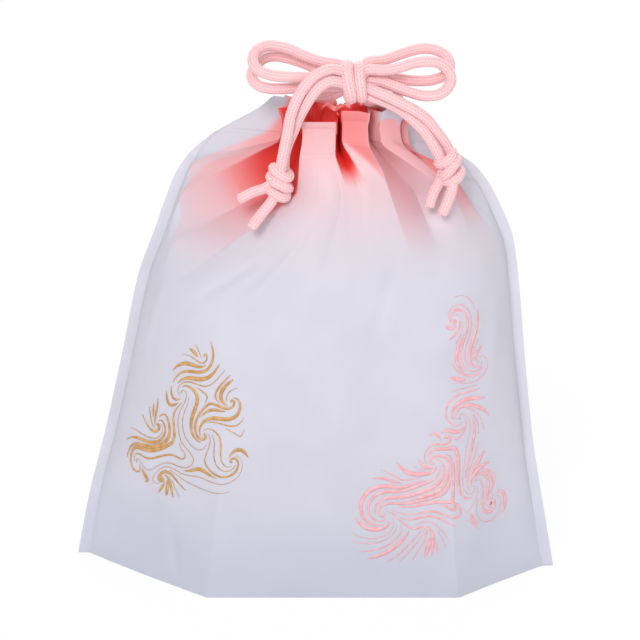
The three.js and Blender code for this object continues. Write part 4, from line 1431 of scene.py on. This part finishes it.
# Middle lines of the cords, in millimetres
STRANDS: dict[str, tuple] = {
    "left_lead_front": (
        (-1.4, -5.2, 215.8), (-4.0, -4.4, 217.2), (-4.2, -5.4, 220.2), (-1.4, -9.0, 222.2),
        (2.8, -13.2, 223.0), (7.6, -17.0, 225.0), (12.4, -20.0, 228.0),
    ),
    "left_lead_rear": (
        (-1.4, 5.2, 214.6), (-4.6, 3.4, 216.2), (-5.6, 2.0, 219.4), (-4.2, -1.6, 222.8),
        (-0.6, -5.6, 225.2), (3.6, -10.0, 226.6), (7.8, -13.4, 228.6), (11.8, -15.6, 230.8),
    ),
    "right_lead_front": (
        (27.7, -5, 205.1), (30.8, -3.6, 205.0), (32.6, -3.4, 208.4), (32.2, -4.4, 213.4), (29.4, -7.6, 217.6),
        (25.8, -12.2, 220.6), (22.6, -17.0, 222.6), (20.2, -20.2, 226.2),
    ),
    "right_lead_rear": (
        (27.7, 5, 203.1), (31, 3.4, 203), (34.8, 2.8, 206.4), (36.2, 2.6, 212), (36.6, 2, 217.6),
        (36.4, -1.6, 223), (32.4, -7.6, 227.6), (27.6, -14, 229.6), (22.8, -16.4, 229.4),
    ),
    "left_loop_front": (
        (12, -20.6, 239), (3.4, -19, 240.4), (-4, -17, 242.4), (-9.6, -15.4, 244.6), (-15.2, -14.4, 246),
        (-20.8, -15, 246.4), (-25, -18, 244.9), (-26.4, -22.4, 242), (-24.6, -26, 239.2),
        (-20.2, -28, 237.4), (-14.7, -28.8, 236.6), (-8.2, -28.6, 236.2), (-1.8, -27.4, 235.8),
        (5.6, -25.4, 235.4), (12, -24.6, 235.2),
    ),
    "left_loop_rear": (
        (12, -18.2, 234.2), (5, -15.6, 234.6), (-1.6, -12, 236.6), (-6.6, -10, 238), (-11.7, -8.6, 239.2),
        (-16.3, -8, 239.9), (-20.9, -9, 239.6), (-24.4, -12, 237.9), (-26.6, -16, 235.6),
        (-26.8, -20, 233.2), (-24.4, -23, 231.2), (-19.9, -24.2, 230), (-13.9, -24.2, 229.8),
        (-7.8, -23.6, 230), (-1.8, -22.6, 230.2), (5.6, -21.8, 230.2), (12, -21.8, 230),
    ),
    "right_loop_rear": (
        (22.8, -20, 240.2), (29.6, -17.2, 240.6), (35.4, -15, 242), (41, -13, 243.4), (46.7, -12, 244.4),
        (52.5, -12, 243.8), (57, -13.6, 241.4), (58.6, -15, 237.8), (57, -15.4, 233.8),
        (51.5, -15.6, 231.4), (43.7, -15.8, 231), (35, -16.4, 232.4), (29, -17, 234), (22.8, -17.2, 234.6),
    ),
    "right_loop_front": (
        (22.8, -25.2, 238.4), (30, -25.2, 238.4), (36.4, -25, 239.4), (42.2, -24, 241), (47.9, -23, 241.6),
        (53, -22, 240.8), (57.4, -21.2, 237.4), (59, -22, 233.4), (57.4, -24, 229.9), (53.7, -25.8, 227.7),
        (48, -26.4, 227.2), (42.2, -26, 228.4), (35.1, -25, 230.7), (29, -23.4, 232.4),
        (22.8, -22.6, 233.2),
    ),
    "left_tail_outer": (
        (9.9, -29.2, 239.4), (6.6, -31.4, 240.4), (1.4, -33.4, 238.8), (-3.6, -34.6, 234.4),
        (-7.4, -35, 228), (-10, -34.8, 220.9), (-11.6, -34, 212.1), (-13, -33.6, 205), (-14.2, -33, 198.2),
    ),
    "left_tail_inner": (
        (9.6, -31.4, 235.0), (6.2, -33.4, 235.6), (2.2, -34.6, 233.4), (-0.8, -34.4, 229.8),
        (-4.2, -33.2, 224.0), (-6.8, -31.3, 218.4), (-8.8, -29.8, 212.9), (-11.2, -28.6, 206.8),
        (-12.6, -28.1, 201.8), (-13.0, -27.8, 198.2),
    ),
    "right_tail_outer": (
        (25, -27.4, 230.2), (28.4, -29, 229.2), (35.1, -30.6, 226.4), (42.3, -30.8, 222.6),
        (48.1, -29.6, 218.2), (52, -27.8, 213), (55, -26, 208.4), (57.6, -24.4, 204),
    ),
    "right_tail_inner": (
        (24.8, -25.2, 226.4), (28.4, -25.6, 225.2), (35.2, -27.0, 222.4), (40.9, -28.4, 218.6),
        (45.8, -29.0, 214.0), (50, -28.6, 208.2), (53.4, -27.8, 202),
    ),
    "left_cord_end_upper": (
        (-20.9, -29.7, 186.8), (-26.6, -30, 184.8), (-33, -31, 181.6),
    ),
    "left_cord_end_lower": (
        (-18, -32.3, 182.3), (-22.6, -35.6, 177), (-27.6, -38.6, 171.2),
    ),
    "right_cord_end_left": (
        (54.5, -25.8, 188.3), (51.6, -29.4, 183.8), (50, -30.6, 178),
    ),
    "right_cord_end_right": (
        (60, -28.4, 186.8), (58, -31, 181), (55.4, -32.4, 175.2),
    ),
}

# Where each tail strand comes out of the squeezed strands, inside the bow knot
FROM_KNOT = {
    "left_tail_outer": (15.2, -25.6, 236.4),
    "left_tail_inner": (15.0, -25.8, 231.6),
    "right_tail_outer": (19.8, -24.6, 231.8),
    "right_tail_inner": (20.0, -23.6, 228.4),
}

# Where a tail's two strands pass through their end knot, between the tail and the cut end
THROUGH_KNOT = {
    "left_tail_outer": ((-15.2, -31.4, 192.6), "left_cord_end_upper"),
    "left_tail_inner": ((-13.4, -29.0, 191.4), "left_cord_end_lower"),
    "right_tail_outer": ((59.6, -24.9, 196.2), "right_cord_end_right"),
    "right_tail_inner": ((56.2, -25.6, 195.2), "right_cord_end_left"),
}

# Inside the bow knot: a lead's end, with its X from the knot's middle, and each loop's X
LEAD_END = (2.0, -22.6, 229.2)
LOOP_END_X = {End.LEFT: 14.6, End.RIGHT: 20.2}

KNOT_CENTRE = (17.4, -24.0, 232.8)
WRAP_STEP_X = 4.9
WRAP_FRONT_D = 6.2
WRAP_REAR_D = 5.2
WRAP_HALF_Y = 5.55
WRAP_HALF_Z = 6.7
SQUEEZED_HALF_X = 4.6
SQUEEZED_YZ = ((-1.3, 3.0), (1.2, 1.1), (-1.2, -1.0), (1.2, -3.2))
END_KNOT_HALF_HEIGHT = 8.6
# Each turn's height, tilt on the left in degrees, growth and wander
END_KNOT_TURNS = ((4.9, -20, -0.2, 0.4), (0.4, -27, 0.35, -0.35), (-4.5, -15, -0.1, 0.3))


def dress(piece: bpy.types.Object, slot: str, body: str | None, *nodes: str) -> bpy.types.Object:
    """Rides a piece on a body in place of CAD nodes.

    Args:
        piece: the piece.
        slot: its material slot; not used.
        body: what it rides on, or None where it lies between two bodies, and then it rides on none.
        nodes: the CAD nodes that it stands for.

    Returns:
        The piece.
    """
    if body:
        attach(piece, body)
    if nodes:
        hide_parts(*nodes)
    return piece


@dataclass
class Drawstrings:
    """Two braided cords: a ring each in the casing, and the strands that leave it."""

    finish: bpy.types.Material

    def strand(self, name: str, points: np.ndarray, body: str | None, nodes: tuple[str, ...]) -> bpy.types.Object:
        """A cord through given points.

        Args:
            name: the piece's name.
            points: its middle line, in millimetres.
            body: what it rides on, if it rides on one.
            nodes: CAD nodes that it stands for.

        Returns:
            The piece.
        """
        line = spline(points)
        made = dress(Braid(line).surface().object(name, self.finish), "cord", body, *nodes)
        return made

    def rings(self) -> None:
        """The two rings inside the casing, the right one under the left one.

        Formula: each follows the mouth's oval from one side slot round to near it again, in
        front and then behind, at the cords' line less its depth in the casing.
        """
        front, back = front_panel(), back_panel()
        half = np.linspace(35, 180, 40)
        places = [(a, front) for a in half] + [(a, back) for a in half[::-1][1:]]
        for end in End:
            depth = FILM_WALL + 2 * SEAT_GAP + CORD_D / 2 + (0 if end is End.LEFT else RINGS_APART_Z)
            line = []
            for angle, film in places:
                turned = angle if end is End.LEFT else 180 - angle
                z = HEM_Z + float(along(film.cord_line, turned)) - depth
                line.append([*film.round_mouth(turned, 0.0), z])
            name = f"{end.name.lower()}_drawstring"
            ring = Braid(np.array(line)).surface().object(f"{name}_in_casing", self.finish)
            dress(ring, "cord", "pouch", name)

    def leads(self) -> None:
        """The four strands from the casing's side slots to the bow knot."""
        for end in End:
            inward = [KNOT_CENTRE[0] + end.value * LEAD_END[0], *LEAD_END[1:]]
            for name in (f"{end.name.lower()}_lead_front", f"{end.name.lower()}_lead_rear"):
                points = np.vstack([np.array(STRANDS[name], float), [inward]])
                self.strand(f"{name}_cord", points, "pouch", (name,))

    def loops(self) -> None:
        """The bow's four strands, two to a side, out of the knot and back into it."""
        for name in ("left_loop_front", "left_loop_rear", "right_loop_rear", "right_loop_front"):
            end = End.LEFT if "left" in name else End.RIGHT
            points = np.array(STRANDS[name], float)
            inner = points[[0, -1]] * 0.5 + np.array(KNOT_CENTRE) * 0.5
            inner[:, 0] = LOOP_END_X[end]
            whole = np.vstack([inner[0], points, inner[1]])
            self.strand(f"{name}_cord", whole, f"{end.name.lower()}_loops", (name,))

    def tails(self) -> None:
        """Each tail's two strands, from the bow knot through the end knot to their cut ends."""
        for end in End:
            side = end.name.lower()
            knot = dress(EndKnot(end).object(self.finish), "cord", f"{side}_tail", f"{side}_end_knot")
            for name in (f"{side}_tail_outer", f"{side}_tail_inner"):
                middle, cut = THROUGH_KNOT[name]
                points = np.vstack([[FROM_KNOT[name]], STRANDS[name], [middle], STRANDS[cut]]).astype(float)
                made = self.strand(f"{name}_cord", points, None, (name, cut))
                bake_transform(made)


@dataclass
class EndKnot:
    """Overhand knot in the two strands of a tail: three turns, one over the other."""

    end: End
    half_x: float = 3.75
    half_y: float = 3.55

    def axes(self) -> tuple[np.ndarray, np.ndarray, np.ndarray, np.ndarray]:
        """Where the knot is and how it lies.

        Formula: up is the mean of the strands' directions less its part along the line
        between their ends, and the middle is half the knot's height below those ends.

        Returns:
            The knot's middle, and its directions across, away and up along the strands.
        """
        side = self.end.name.lower()
        pairs = [np.array(STRANDS[f"{side}_tail_{which}"][-2:], float) for which in ("outer", "inner")]
        up = sum(unit(p[0] - p[1]) for p in pairs)
        across = unit(pairs[0][1] - pairs[1][1])
        up = unit(up - across * up.dot(across))
        middle = (pairs[0][1] + pairs[1][1]) / 2 - up * (END_KNOT_HALF_HEIGHT + 2 * SEAT_GAP)
        right = unit(np.cross([0.0, 1.0, 0.0], up))
        return middle, right, np.cross(up, right), up

    def turn(self, height: float, tilt: float, grow: float, wander: float) -> np.ndarray:
        """A closed turn of cord round the strands.

        Formula: an oval across the knot's axis, raised by the tangent of its tilt times the
        place across and by a small second wave, so that it doesn't lie in one plane.

        Args:
            height: how far over the knot's middle.
            tilt: its slope across, in degrees.
            grow: how much its half widths are larger than the knot's.
            wander: the second wave's height.

        Returns:
            The turn's middle line.
        """
        a = np.linspace(0, 2 * math.pi, 97)
        middle, right, away, up = self.axes()
        x = (self.half_x + grow) * np.cos(a)
        y = (self.half_y + grow) * np.sin(a)
        z = height + math.tan(math.radians(tilt)) * x + wander * np.sin(2 * a + 0.6)
        return middle + x[:, None] * right + y[:, None] * away + z[:, None] * up

    def object(self, finish: bpy.types.Material) -> bpy.types.Object:
        """Builds the knot's turns, which tilt the other way on the right.

        Args:
            finish: the cord's material.

        Returns:
            The turns as one piece.
        """
        turns = [self.turn(height, -self.end.value * tilt, grow, wander)
                 for height, tilt, grow, wander in END_KNOT_TURNS]
        parts = [Braid(turn, closed=True).surface() for turn in turns]
        return joined(parts).object(f"{self.end.name.lower()}_end_knot_turns", finish)


@dataclass
class BowKnot:
    """The knot that holds the bow: two turns side by side, over the strands squeezed inside.

    The turns' leans are in degrees, and the squeezed strands waver by two small waves.
    """

    finish: bpy.types.Material
    leans: tuple[float, float] = (-12.0, -8.0)
    squeeze: float = 0.35
    sink: float = 0.3

    def wrap(self, end: End) -> np.ndarray:
        """A closed turn's middle line.

        Formula: a flat oval across X, moved sideways in front by the tangent of its lean times
        the height over the knot's middle.

        Args:
            end: which of the two turns.

        Returns:
            The line.
        """
        a = np.linspace(0, 2 * math.pi, 121)
        y = WRAP_HALF_Y * np.cos(a)
        z = WRAP_HALF_Z * np.sin(a)
        lean = math.tan(math.radians(self.leans[0 if end is End.LEFT else 1]))
        x = end.value * WRAP_STEP_X / 2 + lean * z * (0.5 - 0.5 * y / WRAP_HALF_Y)
        return np.column_stack([x, y, z]) + KNOT_CENTRE

    def build(self) -> None:
        """Builds the turns and the squeezed strands."""
        for end, size in ((End.LEFT, WRAP_FRONT_D), (End.RIGHT, WRAP_REAR_D)):
            side = end.name.lower()
            turn = Braid(self.wrap(end), closed=True, diameter=size).surface()
            dress(turn.object(f"bow_knot_{side}_turn", self.finish), "cord", "pouch", f"bow_knot_turn_{side}")
        parts = []
        x = np.linspace(-SQUEEZED_HALF_X, SQUEEZED_HALF_X, 9)
        for y, z in SQUEEZED_YZ:
            line = np.column_stack([x, y + self.squeeze * np.sin(x), z + self.sink * np.cos(x * 0.7)])
            line = line + KNOT_CENTRE
            parts.append(Braid(line).surface())
        core = joined(parts).object("bow_knot_squeezed_strands", self.finish)
        dress(core, "cord", "pouch", "bow_knot_core")


@dataclass
class WaterPrint:
    """A printed patch of flowing water: lines that run past and into eddies.

    The lines are traced through a smooth flow and kept apart, so that the pattern is drawn by
    the flow and not copied from a picture. An eddy is its place, its strength, whose sign is
    the way it turns, and its core. A disc is its middle and its radius.
    """

    name: str
    ink: PrintInk
    eddies: tuple[tuple[float, float, float, float], ...]
    drift: tuple[float, float]
    discs: tuple[tuple[float, float, float], ...]
    cut: float | None = None
    apart: float = 2.3
    apart_on_the_way: float = 0.62
    wavy_edge: float = 0.12
    widest: float = 1.9
    thinnest: float = 0.10
    ink_wall: float = 0.14
    ink_top: float = 0.16
    inward: float = 0.16
    starts: int = 160
    steps: int = 110
    step: float = 0.6
    fewest: int = 11
    seed: int = 1

    def flow(self, p: np.ndarray) -> np.ndarray:
        """Direction of the flow.

        Formula: a steady drift, plus for each eddy a turn round its middle whose speed is its
        strength over squared distance and squared core, and a slight draw inwards.

        Args:
            p: places on the flat film.

        Returns:
            A unit direction at each.
        """
        v = np.tile(np.array(self.drift, float), (len(p), 1))
        for x, z, strength, core in self.eddies:
            d = p - [x, z]
            pull = strength * core / (np.sum(d * d, axis=1) + core * core)
            turning = np.column_stack([-d[:, 1], d[:, 0]]) * pull[:, None]
            v = v + turning - d * (self.inward * abs(strength) * pull)[:, None] * 0.6
        return unit(v)

    def inside(self, p: np.ndarray) -> np.ndarray:
        """Which places lie in the patch.

        Formula: nearer to a disc's middle than its radius, which swells and shrinks three times
        round it, and right of the cut.

        Args:
            p: places on the flat film.

        Returns:
            True or False for each.
        """
        near = np.zeros(len(p), bool)
        for x, z, r in self.discs:
            edge = r * (1 + self.wavy_edge * np.sin(3 * np.arctan2(p[:, 1] - z, p[:, 0] - x) + self.seed))
            near |= np.hypot(p[:, 0] - x, p[:, 1] - z) < edge
        return near if self.cut is None else near & (p[:, 0] > self.cut)

    def tracks(self, spots: np.ndarray) -> list[np.ndarray]:
        """Paths through the flow from each spot, forwards and then backwards, in even steps.

        Formula: the midpoint rule, which steps by the direction found half a step ahead.

        Args:
            spots: where the paths begin.

        Returns:
            Two arrays of steps by spots by 2.
        """
        paths = []
        for way in (1.0, -1.0):
            p, track = spots.copy(), [spots.copy()]
            for _ in range(self.steps):
                half = p + self.flow(p) * way * (self.step / 2)
                p = p + self.flow(half) * way * self.step
                track.append(p.copy())
            paths.append(np.array(track))
        return paths

    def lines(self) -> list[np.ndarray]:
        """Lines traced both ways from seeded places, each held off those drawn before it.

        Returns:
            The lines, as places on the flat film.
        """
        rng = np.random.default_rng(self.seed)
        spots = np.concatenate([
            np.column_stack([rng.uniform(x - r, x + r, self.starts), rng.uniform(z - r, z + r, self.starts)])
            for x, z, r in self.discs])
        spots = spots[self.inside(spots)]
        paths = self.tracks(spots)
        drawn, kept = np.empty((0, 2)), []
        for i, spot in enumerate(spots):
            if len(drawn) and np.min(np.hypot(*(drawn - spot).T)) < self.apart:
                continue
            legs = []
            for track in paths:
                leg = track[:, i]
                bad = ~self.inside(leg)
                if len(drawn):
                    gap = leg[:, None] - drawn[None, :]
                    near = np.min(np.hypot(gap[..., 0], gap[..., 1]), 1)
                    bad |= near < self.apart * self.apart_on_the_way
                legs.append(leg[:int(np.argmax(bad))] if bad.any() else leg)
            line = np.concatenate([legs[1][::-1], legs[0][1:]])
            if len(line) > self.fewest:
                kept.append(line)
                drawn = np.concatenate([drawn, line[::2]])
        return kept

    def build(self, film: FilmMap) -> bpy.types.Object:
        """Lays the lines on the film as thin ink.

        Formula: a line's width is a power of a sine along it, so that it is wide in the middle
        and drawn out at the ends, times a share that goes up and down from line to line.

        Args:
            film: the film that carries the print.

        Returns:
            The print, as one piece.
        """
        parts = []
        for i, line in enumerate(self.lines()):
            t = np.linspace(0, 1, len(line))
            most = self.widest * (0.55 + 0.45 * math.sin(i * 1.7))
            width = most * np.sin(math.pi * t) ** 0.7 + self.thinnest
            side = unit(np.column_stack([-np.gradient(line[:, 1]), np.gradient(line[:, 0])]))
            reach = (width[:, None] * np.array([-0.5, 0.0, 0.5]))[..., None]
            edges = line[:, None, :] + side[:, None, :] * reach
            top = film.place(edges[..., 0], edges[..., 1], self.ink_top)
            away = unit(top - film.place(edges[..., 0], edges[..., 1], 0.0))
            points, faces = thickened(top, away, self.ink_wall)
            flat = edges.reshape(-1, 2) / UV_UNIT
            parts.append(Surface(points, faces, np.concatenate([flat, flat])))
        return joined(parts).object(self.name, self.ink.material())


def front_panel() -> FilmPanel:
    """The front film.

    Returns:
        The panel with its sizes; its hem stands up where two pleats do, and its cords' line
        doesn't.
    """
    return FilmPanel(
        Side.FRONT, FRONT_FOLDS, FRONT_CREASES,
        face_y=((0, -48), (40, -51), (80, -51.5), (120, -48.5), (150, -44), (180, -37), (204, -29),
                (217, -25)),
        corners=FRONT_CORNERS,
        hem=((0, 3), (40, 3), (60, 0), (84, 0), (88, 3.8), (101, 3.6), (114, 2.4), (124, 1.5), (128, 2.4),
             (136, 3.6), (150, 0.5), (160, -1.5), (180, -2)),
        cord_line=((0, 3), (40, 3), (60, 0), (90, 0), (110, 2), (150, -2), (180, -2)),
        tints_and_painted_light=FRONT_TINTS_AND_PAINTED_LIGHT, seed=3)


def back_panel() -> FilmPanel:
    """The back film.

    Returns:
        The panel with its sizes; its hem runs level with its cords' line.
    """
    rise = ((0, 3), (60, -4), (110, -7), (180, -2))
    return FilmPanel(
        Side.BACK, BACK_FOLDS, BACK_CREASES,
        face_y=((0, 48), (40, 51), (80, 51.5), (120, 48), (150, 43), (180, 35), (204, 27), (217, 24)),
        corners=BACK_CORNERS, hem=rise, cord_line=rise, tints_and_painted_light=BACK_TINTS_AND_PAINTED_LIGHT, seed=8)


@dataclass
class Pouch:
    """The welded film: front, back, gusset, side seals, and the print."""

    finish: bpy.types.Material
    fold_angle: float = 34.0
    flat_angle: float = 50.0

    def build(self) -> None:
        """Builds all the film's pieces."""
        welded = FrostedFilm("welded film", bare_light="#E3E2EB", bare_shade="#DFDEE8").material()
        for end in End:
            side = end.name.lower()
            seal = SideSeal(end).build().object(f"{side}_side_seal", welded, self.flat_angle)
            dress(seal, "film", "pouch", f"{side}_side_weld")
        gusset = BottomGusset().floor().object("gusset_film", self.finish, self.flat_angle)
        dress(gusset, "film", "pouch", "base_gusset")
        sheets = []
        for panel in (front_panel(), back_panel()):
            side = panel.side.value
            surface, placing = panel.build()
            sheet = surface.object(f"{side}_film", self.finish, self.fold_angle)
            dress(sheet, "film", "pouch", f"{side}_panel", f"{side}_hem")
            sheets.append((sheet, placing))
        (front, on_front), (back, _) = sheets
        prints = [dress(mark.build(on_front), "film", "pouch") for mark in (GOLD_WATER, PINK_WATER)]


GOLD_WATER = WaterPrint(
    "gold_water_print", PrintInk("matt gold screen ink", "#C18E50", "#D3A66E"),
    eddies=((-68, 96, 6, 7), (-54, 78, -7, 7), (-84, 74, 7, 6), (-76, 54, -6, 6), (-42, 94, 6, 5),
            (-40, 66, 6, 5), (-96, 58, -5, 5), (-66, 64, 5, 5), (-60, 110, -5, 5)),
    drift=(0.13, 0.05), discs=((-59, 78, 29), (-82, 64, 22), (-62, 105, 14)), cut=-107.0, seed=4)
PINK_WATER = WaterPrint(
    "pink_water_print", PrintInk("pink screen ink", "#EFA9AF", "#F4BCC0"),
    eddies=((36, 44, 7, 7), (60, 64, -7, 7), (56, 36, 6, 6), (82, 50, 7, 6), (74, 84, -6, 6), (84, 108, 6, 6),
            (72, 128, -5, 5), (44, 56, -5, 5), (70, 42, -5, 5), (92, 40, -5, 5), (66, 76, 5, 4)),
    drift=(0.09, 0.12),
    discs=((44, 40, 24), (70, 58, 23), (78, 86, 14), (80, 108, 12), (76, 128, 11), (90, 42, 14)), seed=9)


@dataclass
class Studio:
    """A pale floor, soft light from above and in front, and the camera."""

    def camera(self) -> None:
        """The photograph's viewpoint: level in roll, looking down by the camera's rise."""
        rise = math.radians(CAMERA_RISE)
        data = bpy.data.cameras.new("camera")
        data.sensor_width = SENSOR_WIDTH
        data.lens = SENSOR_WIDTH * CAMERA_DISTANCE / (FRAME_PIXELS * PIXEL_MM)
        made = placed("camera", data)
        offset = np.array([0, -math.cos(rise), math.sin(rise)]) * CAMERA_DISTANCE
        made.location = (np.array(TARGET) + offset) * MM
        made.rotation_euler = (math.pi / 2 - rise, 0, 0)
        bpy.context.scene.camera = made

    def lamp(self, name: str, at: tuple[float, float, float], size: float, power: float) -> None:
        """A soft square lamp aimed at the pouch.

        Args:
            name: its name.
            at: its place, in millimetres.
            size: its side, in metres.
            power: in watts.
        """
        data = bpy.data.lights.new(name, "AREA")
        data.shape, data.size, data.energy = "SQUARE", size, power
        made = placed(name, data)
        place, aim = np.array(at) * MM, np.array(LAMPS_AIM) * MM
        d = unit(aim - place)
        made.location = place
        made.rotation_euler = (math.acos(-d[2]), 0, math.atan2(d[1], d[0]) - math.pi / 2)

    def surroundings(self) -> None:
        """White to the camera and to gloss, and an even dim sky to everything else."""
        world = bpy.data.worlds.new("studio")
        bpy.context.scene.world = world
        t = Tree(world, "World")
        sky = t.node("Background", Color=(1, 1, 1, 1), Strength=SKY_STRENGTH)
        seen = t.node("Background", Color=(1, 1, 1, 1), Strength=1.0)
        t.show(t.node("MixShader", i0=self.direct(t), i1=sky, i2=seen))

    def direct(self, t: Tree) -> Socket:
        """Which rays see the studio as it is to look.

        Args:
            t: the tree under way.

        Returns:
            1 for rays from the camera, off gloss and through film, and 0 for light that only
            fills.
        """
        share = t.node("LightPath", out="Is Camera Ray")
        for ray in ("Is Glossy Ray", "Is Transmission Ray"):
            share = t.node("Math", GREATER, i0=share, i1=t.node("LightPath", out=ray))
        return share

    def floor(self) -> None:
        """A white sweep under the pouch, which shows white and keeps a faint shadow."""
        a = np.linspace(0, 2 * math.pi, FLOOR_SIDES, endpoint=False)
        ring = np.stack([np.cos(a), np.sin(a), np.zeros_like(a)], -1)
        points = (np.array(FLOOR_RINGS)[:, None, None] * ring[None]).reshape(-1, 3)
        faces = grid_faces(len(FLOOR_RINGS), FLOOR_SIDES, wrap=True)[:, ::-1].tolist()
        faces.append(list(range(FLOOR_SIDES)))
        t = Tree(bpy.data.materials.new("white paper sweep"))
        place = t.node("TexCoord", out="Object")
        grain = t.node("TexNoise", Vector=place, Scale=1 / (FLOOR_TONE_MM * MM), Detail=2.0)
        tone = t.node("Mix", COLOURS, COLOUR_OUT, i0=grain, i6=linear("#F4F4F5"), i7=linear("#FAFAFA"))
        paper = t.node("BsdfDiffuse", Color=tone, Roughness=0.5)
        white = t.node("Emission", Color=(1, 1, 1, 1), Strength=1.0)
        share = t.node("Math", MULTIPLY, i0=self.direct(t), i1=FLOOR_GLOW)
        sweep = t.show(t.node("MixShader", i0=share, i1=paper, i2=white))
        piece = Surface(points, faces).object("floor", sweep)
        piece.location.z = -FLOOR_DROP * MM

    def build(self) -> None:
        """Builds the studio."""
        self.camera()
        self.surroundings()
        self.floor()
        for name, at, size, power in LAMPS:
            self.lamp(name, at, size, power)


def main() -> None:
    """Builds the studio, the cords, the knots and the film."""
    logging.basicConfig(level=logging.INFO, format="%(name)s: %(message)s")
    bpy.context.scene.view_settings.view_transform = "Standard"
    Studio().build()
    cord = BraidedCord().material()
    strings = Drawstrings(cord)
    strings.rings()
    strings.leads()
    strings.loops()
    strings.tails()
    BowKnot(cord).build()
    log.info("cords and knots are tied")
    Pouch(FrostedFilm().material()).build()
    log.info("film is welded and gathered")


if __name__ == "__main__":
    main()
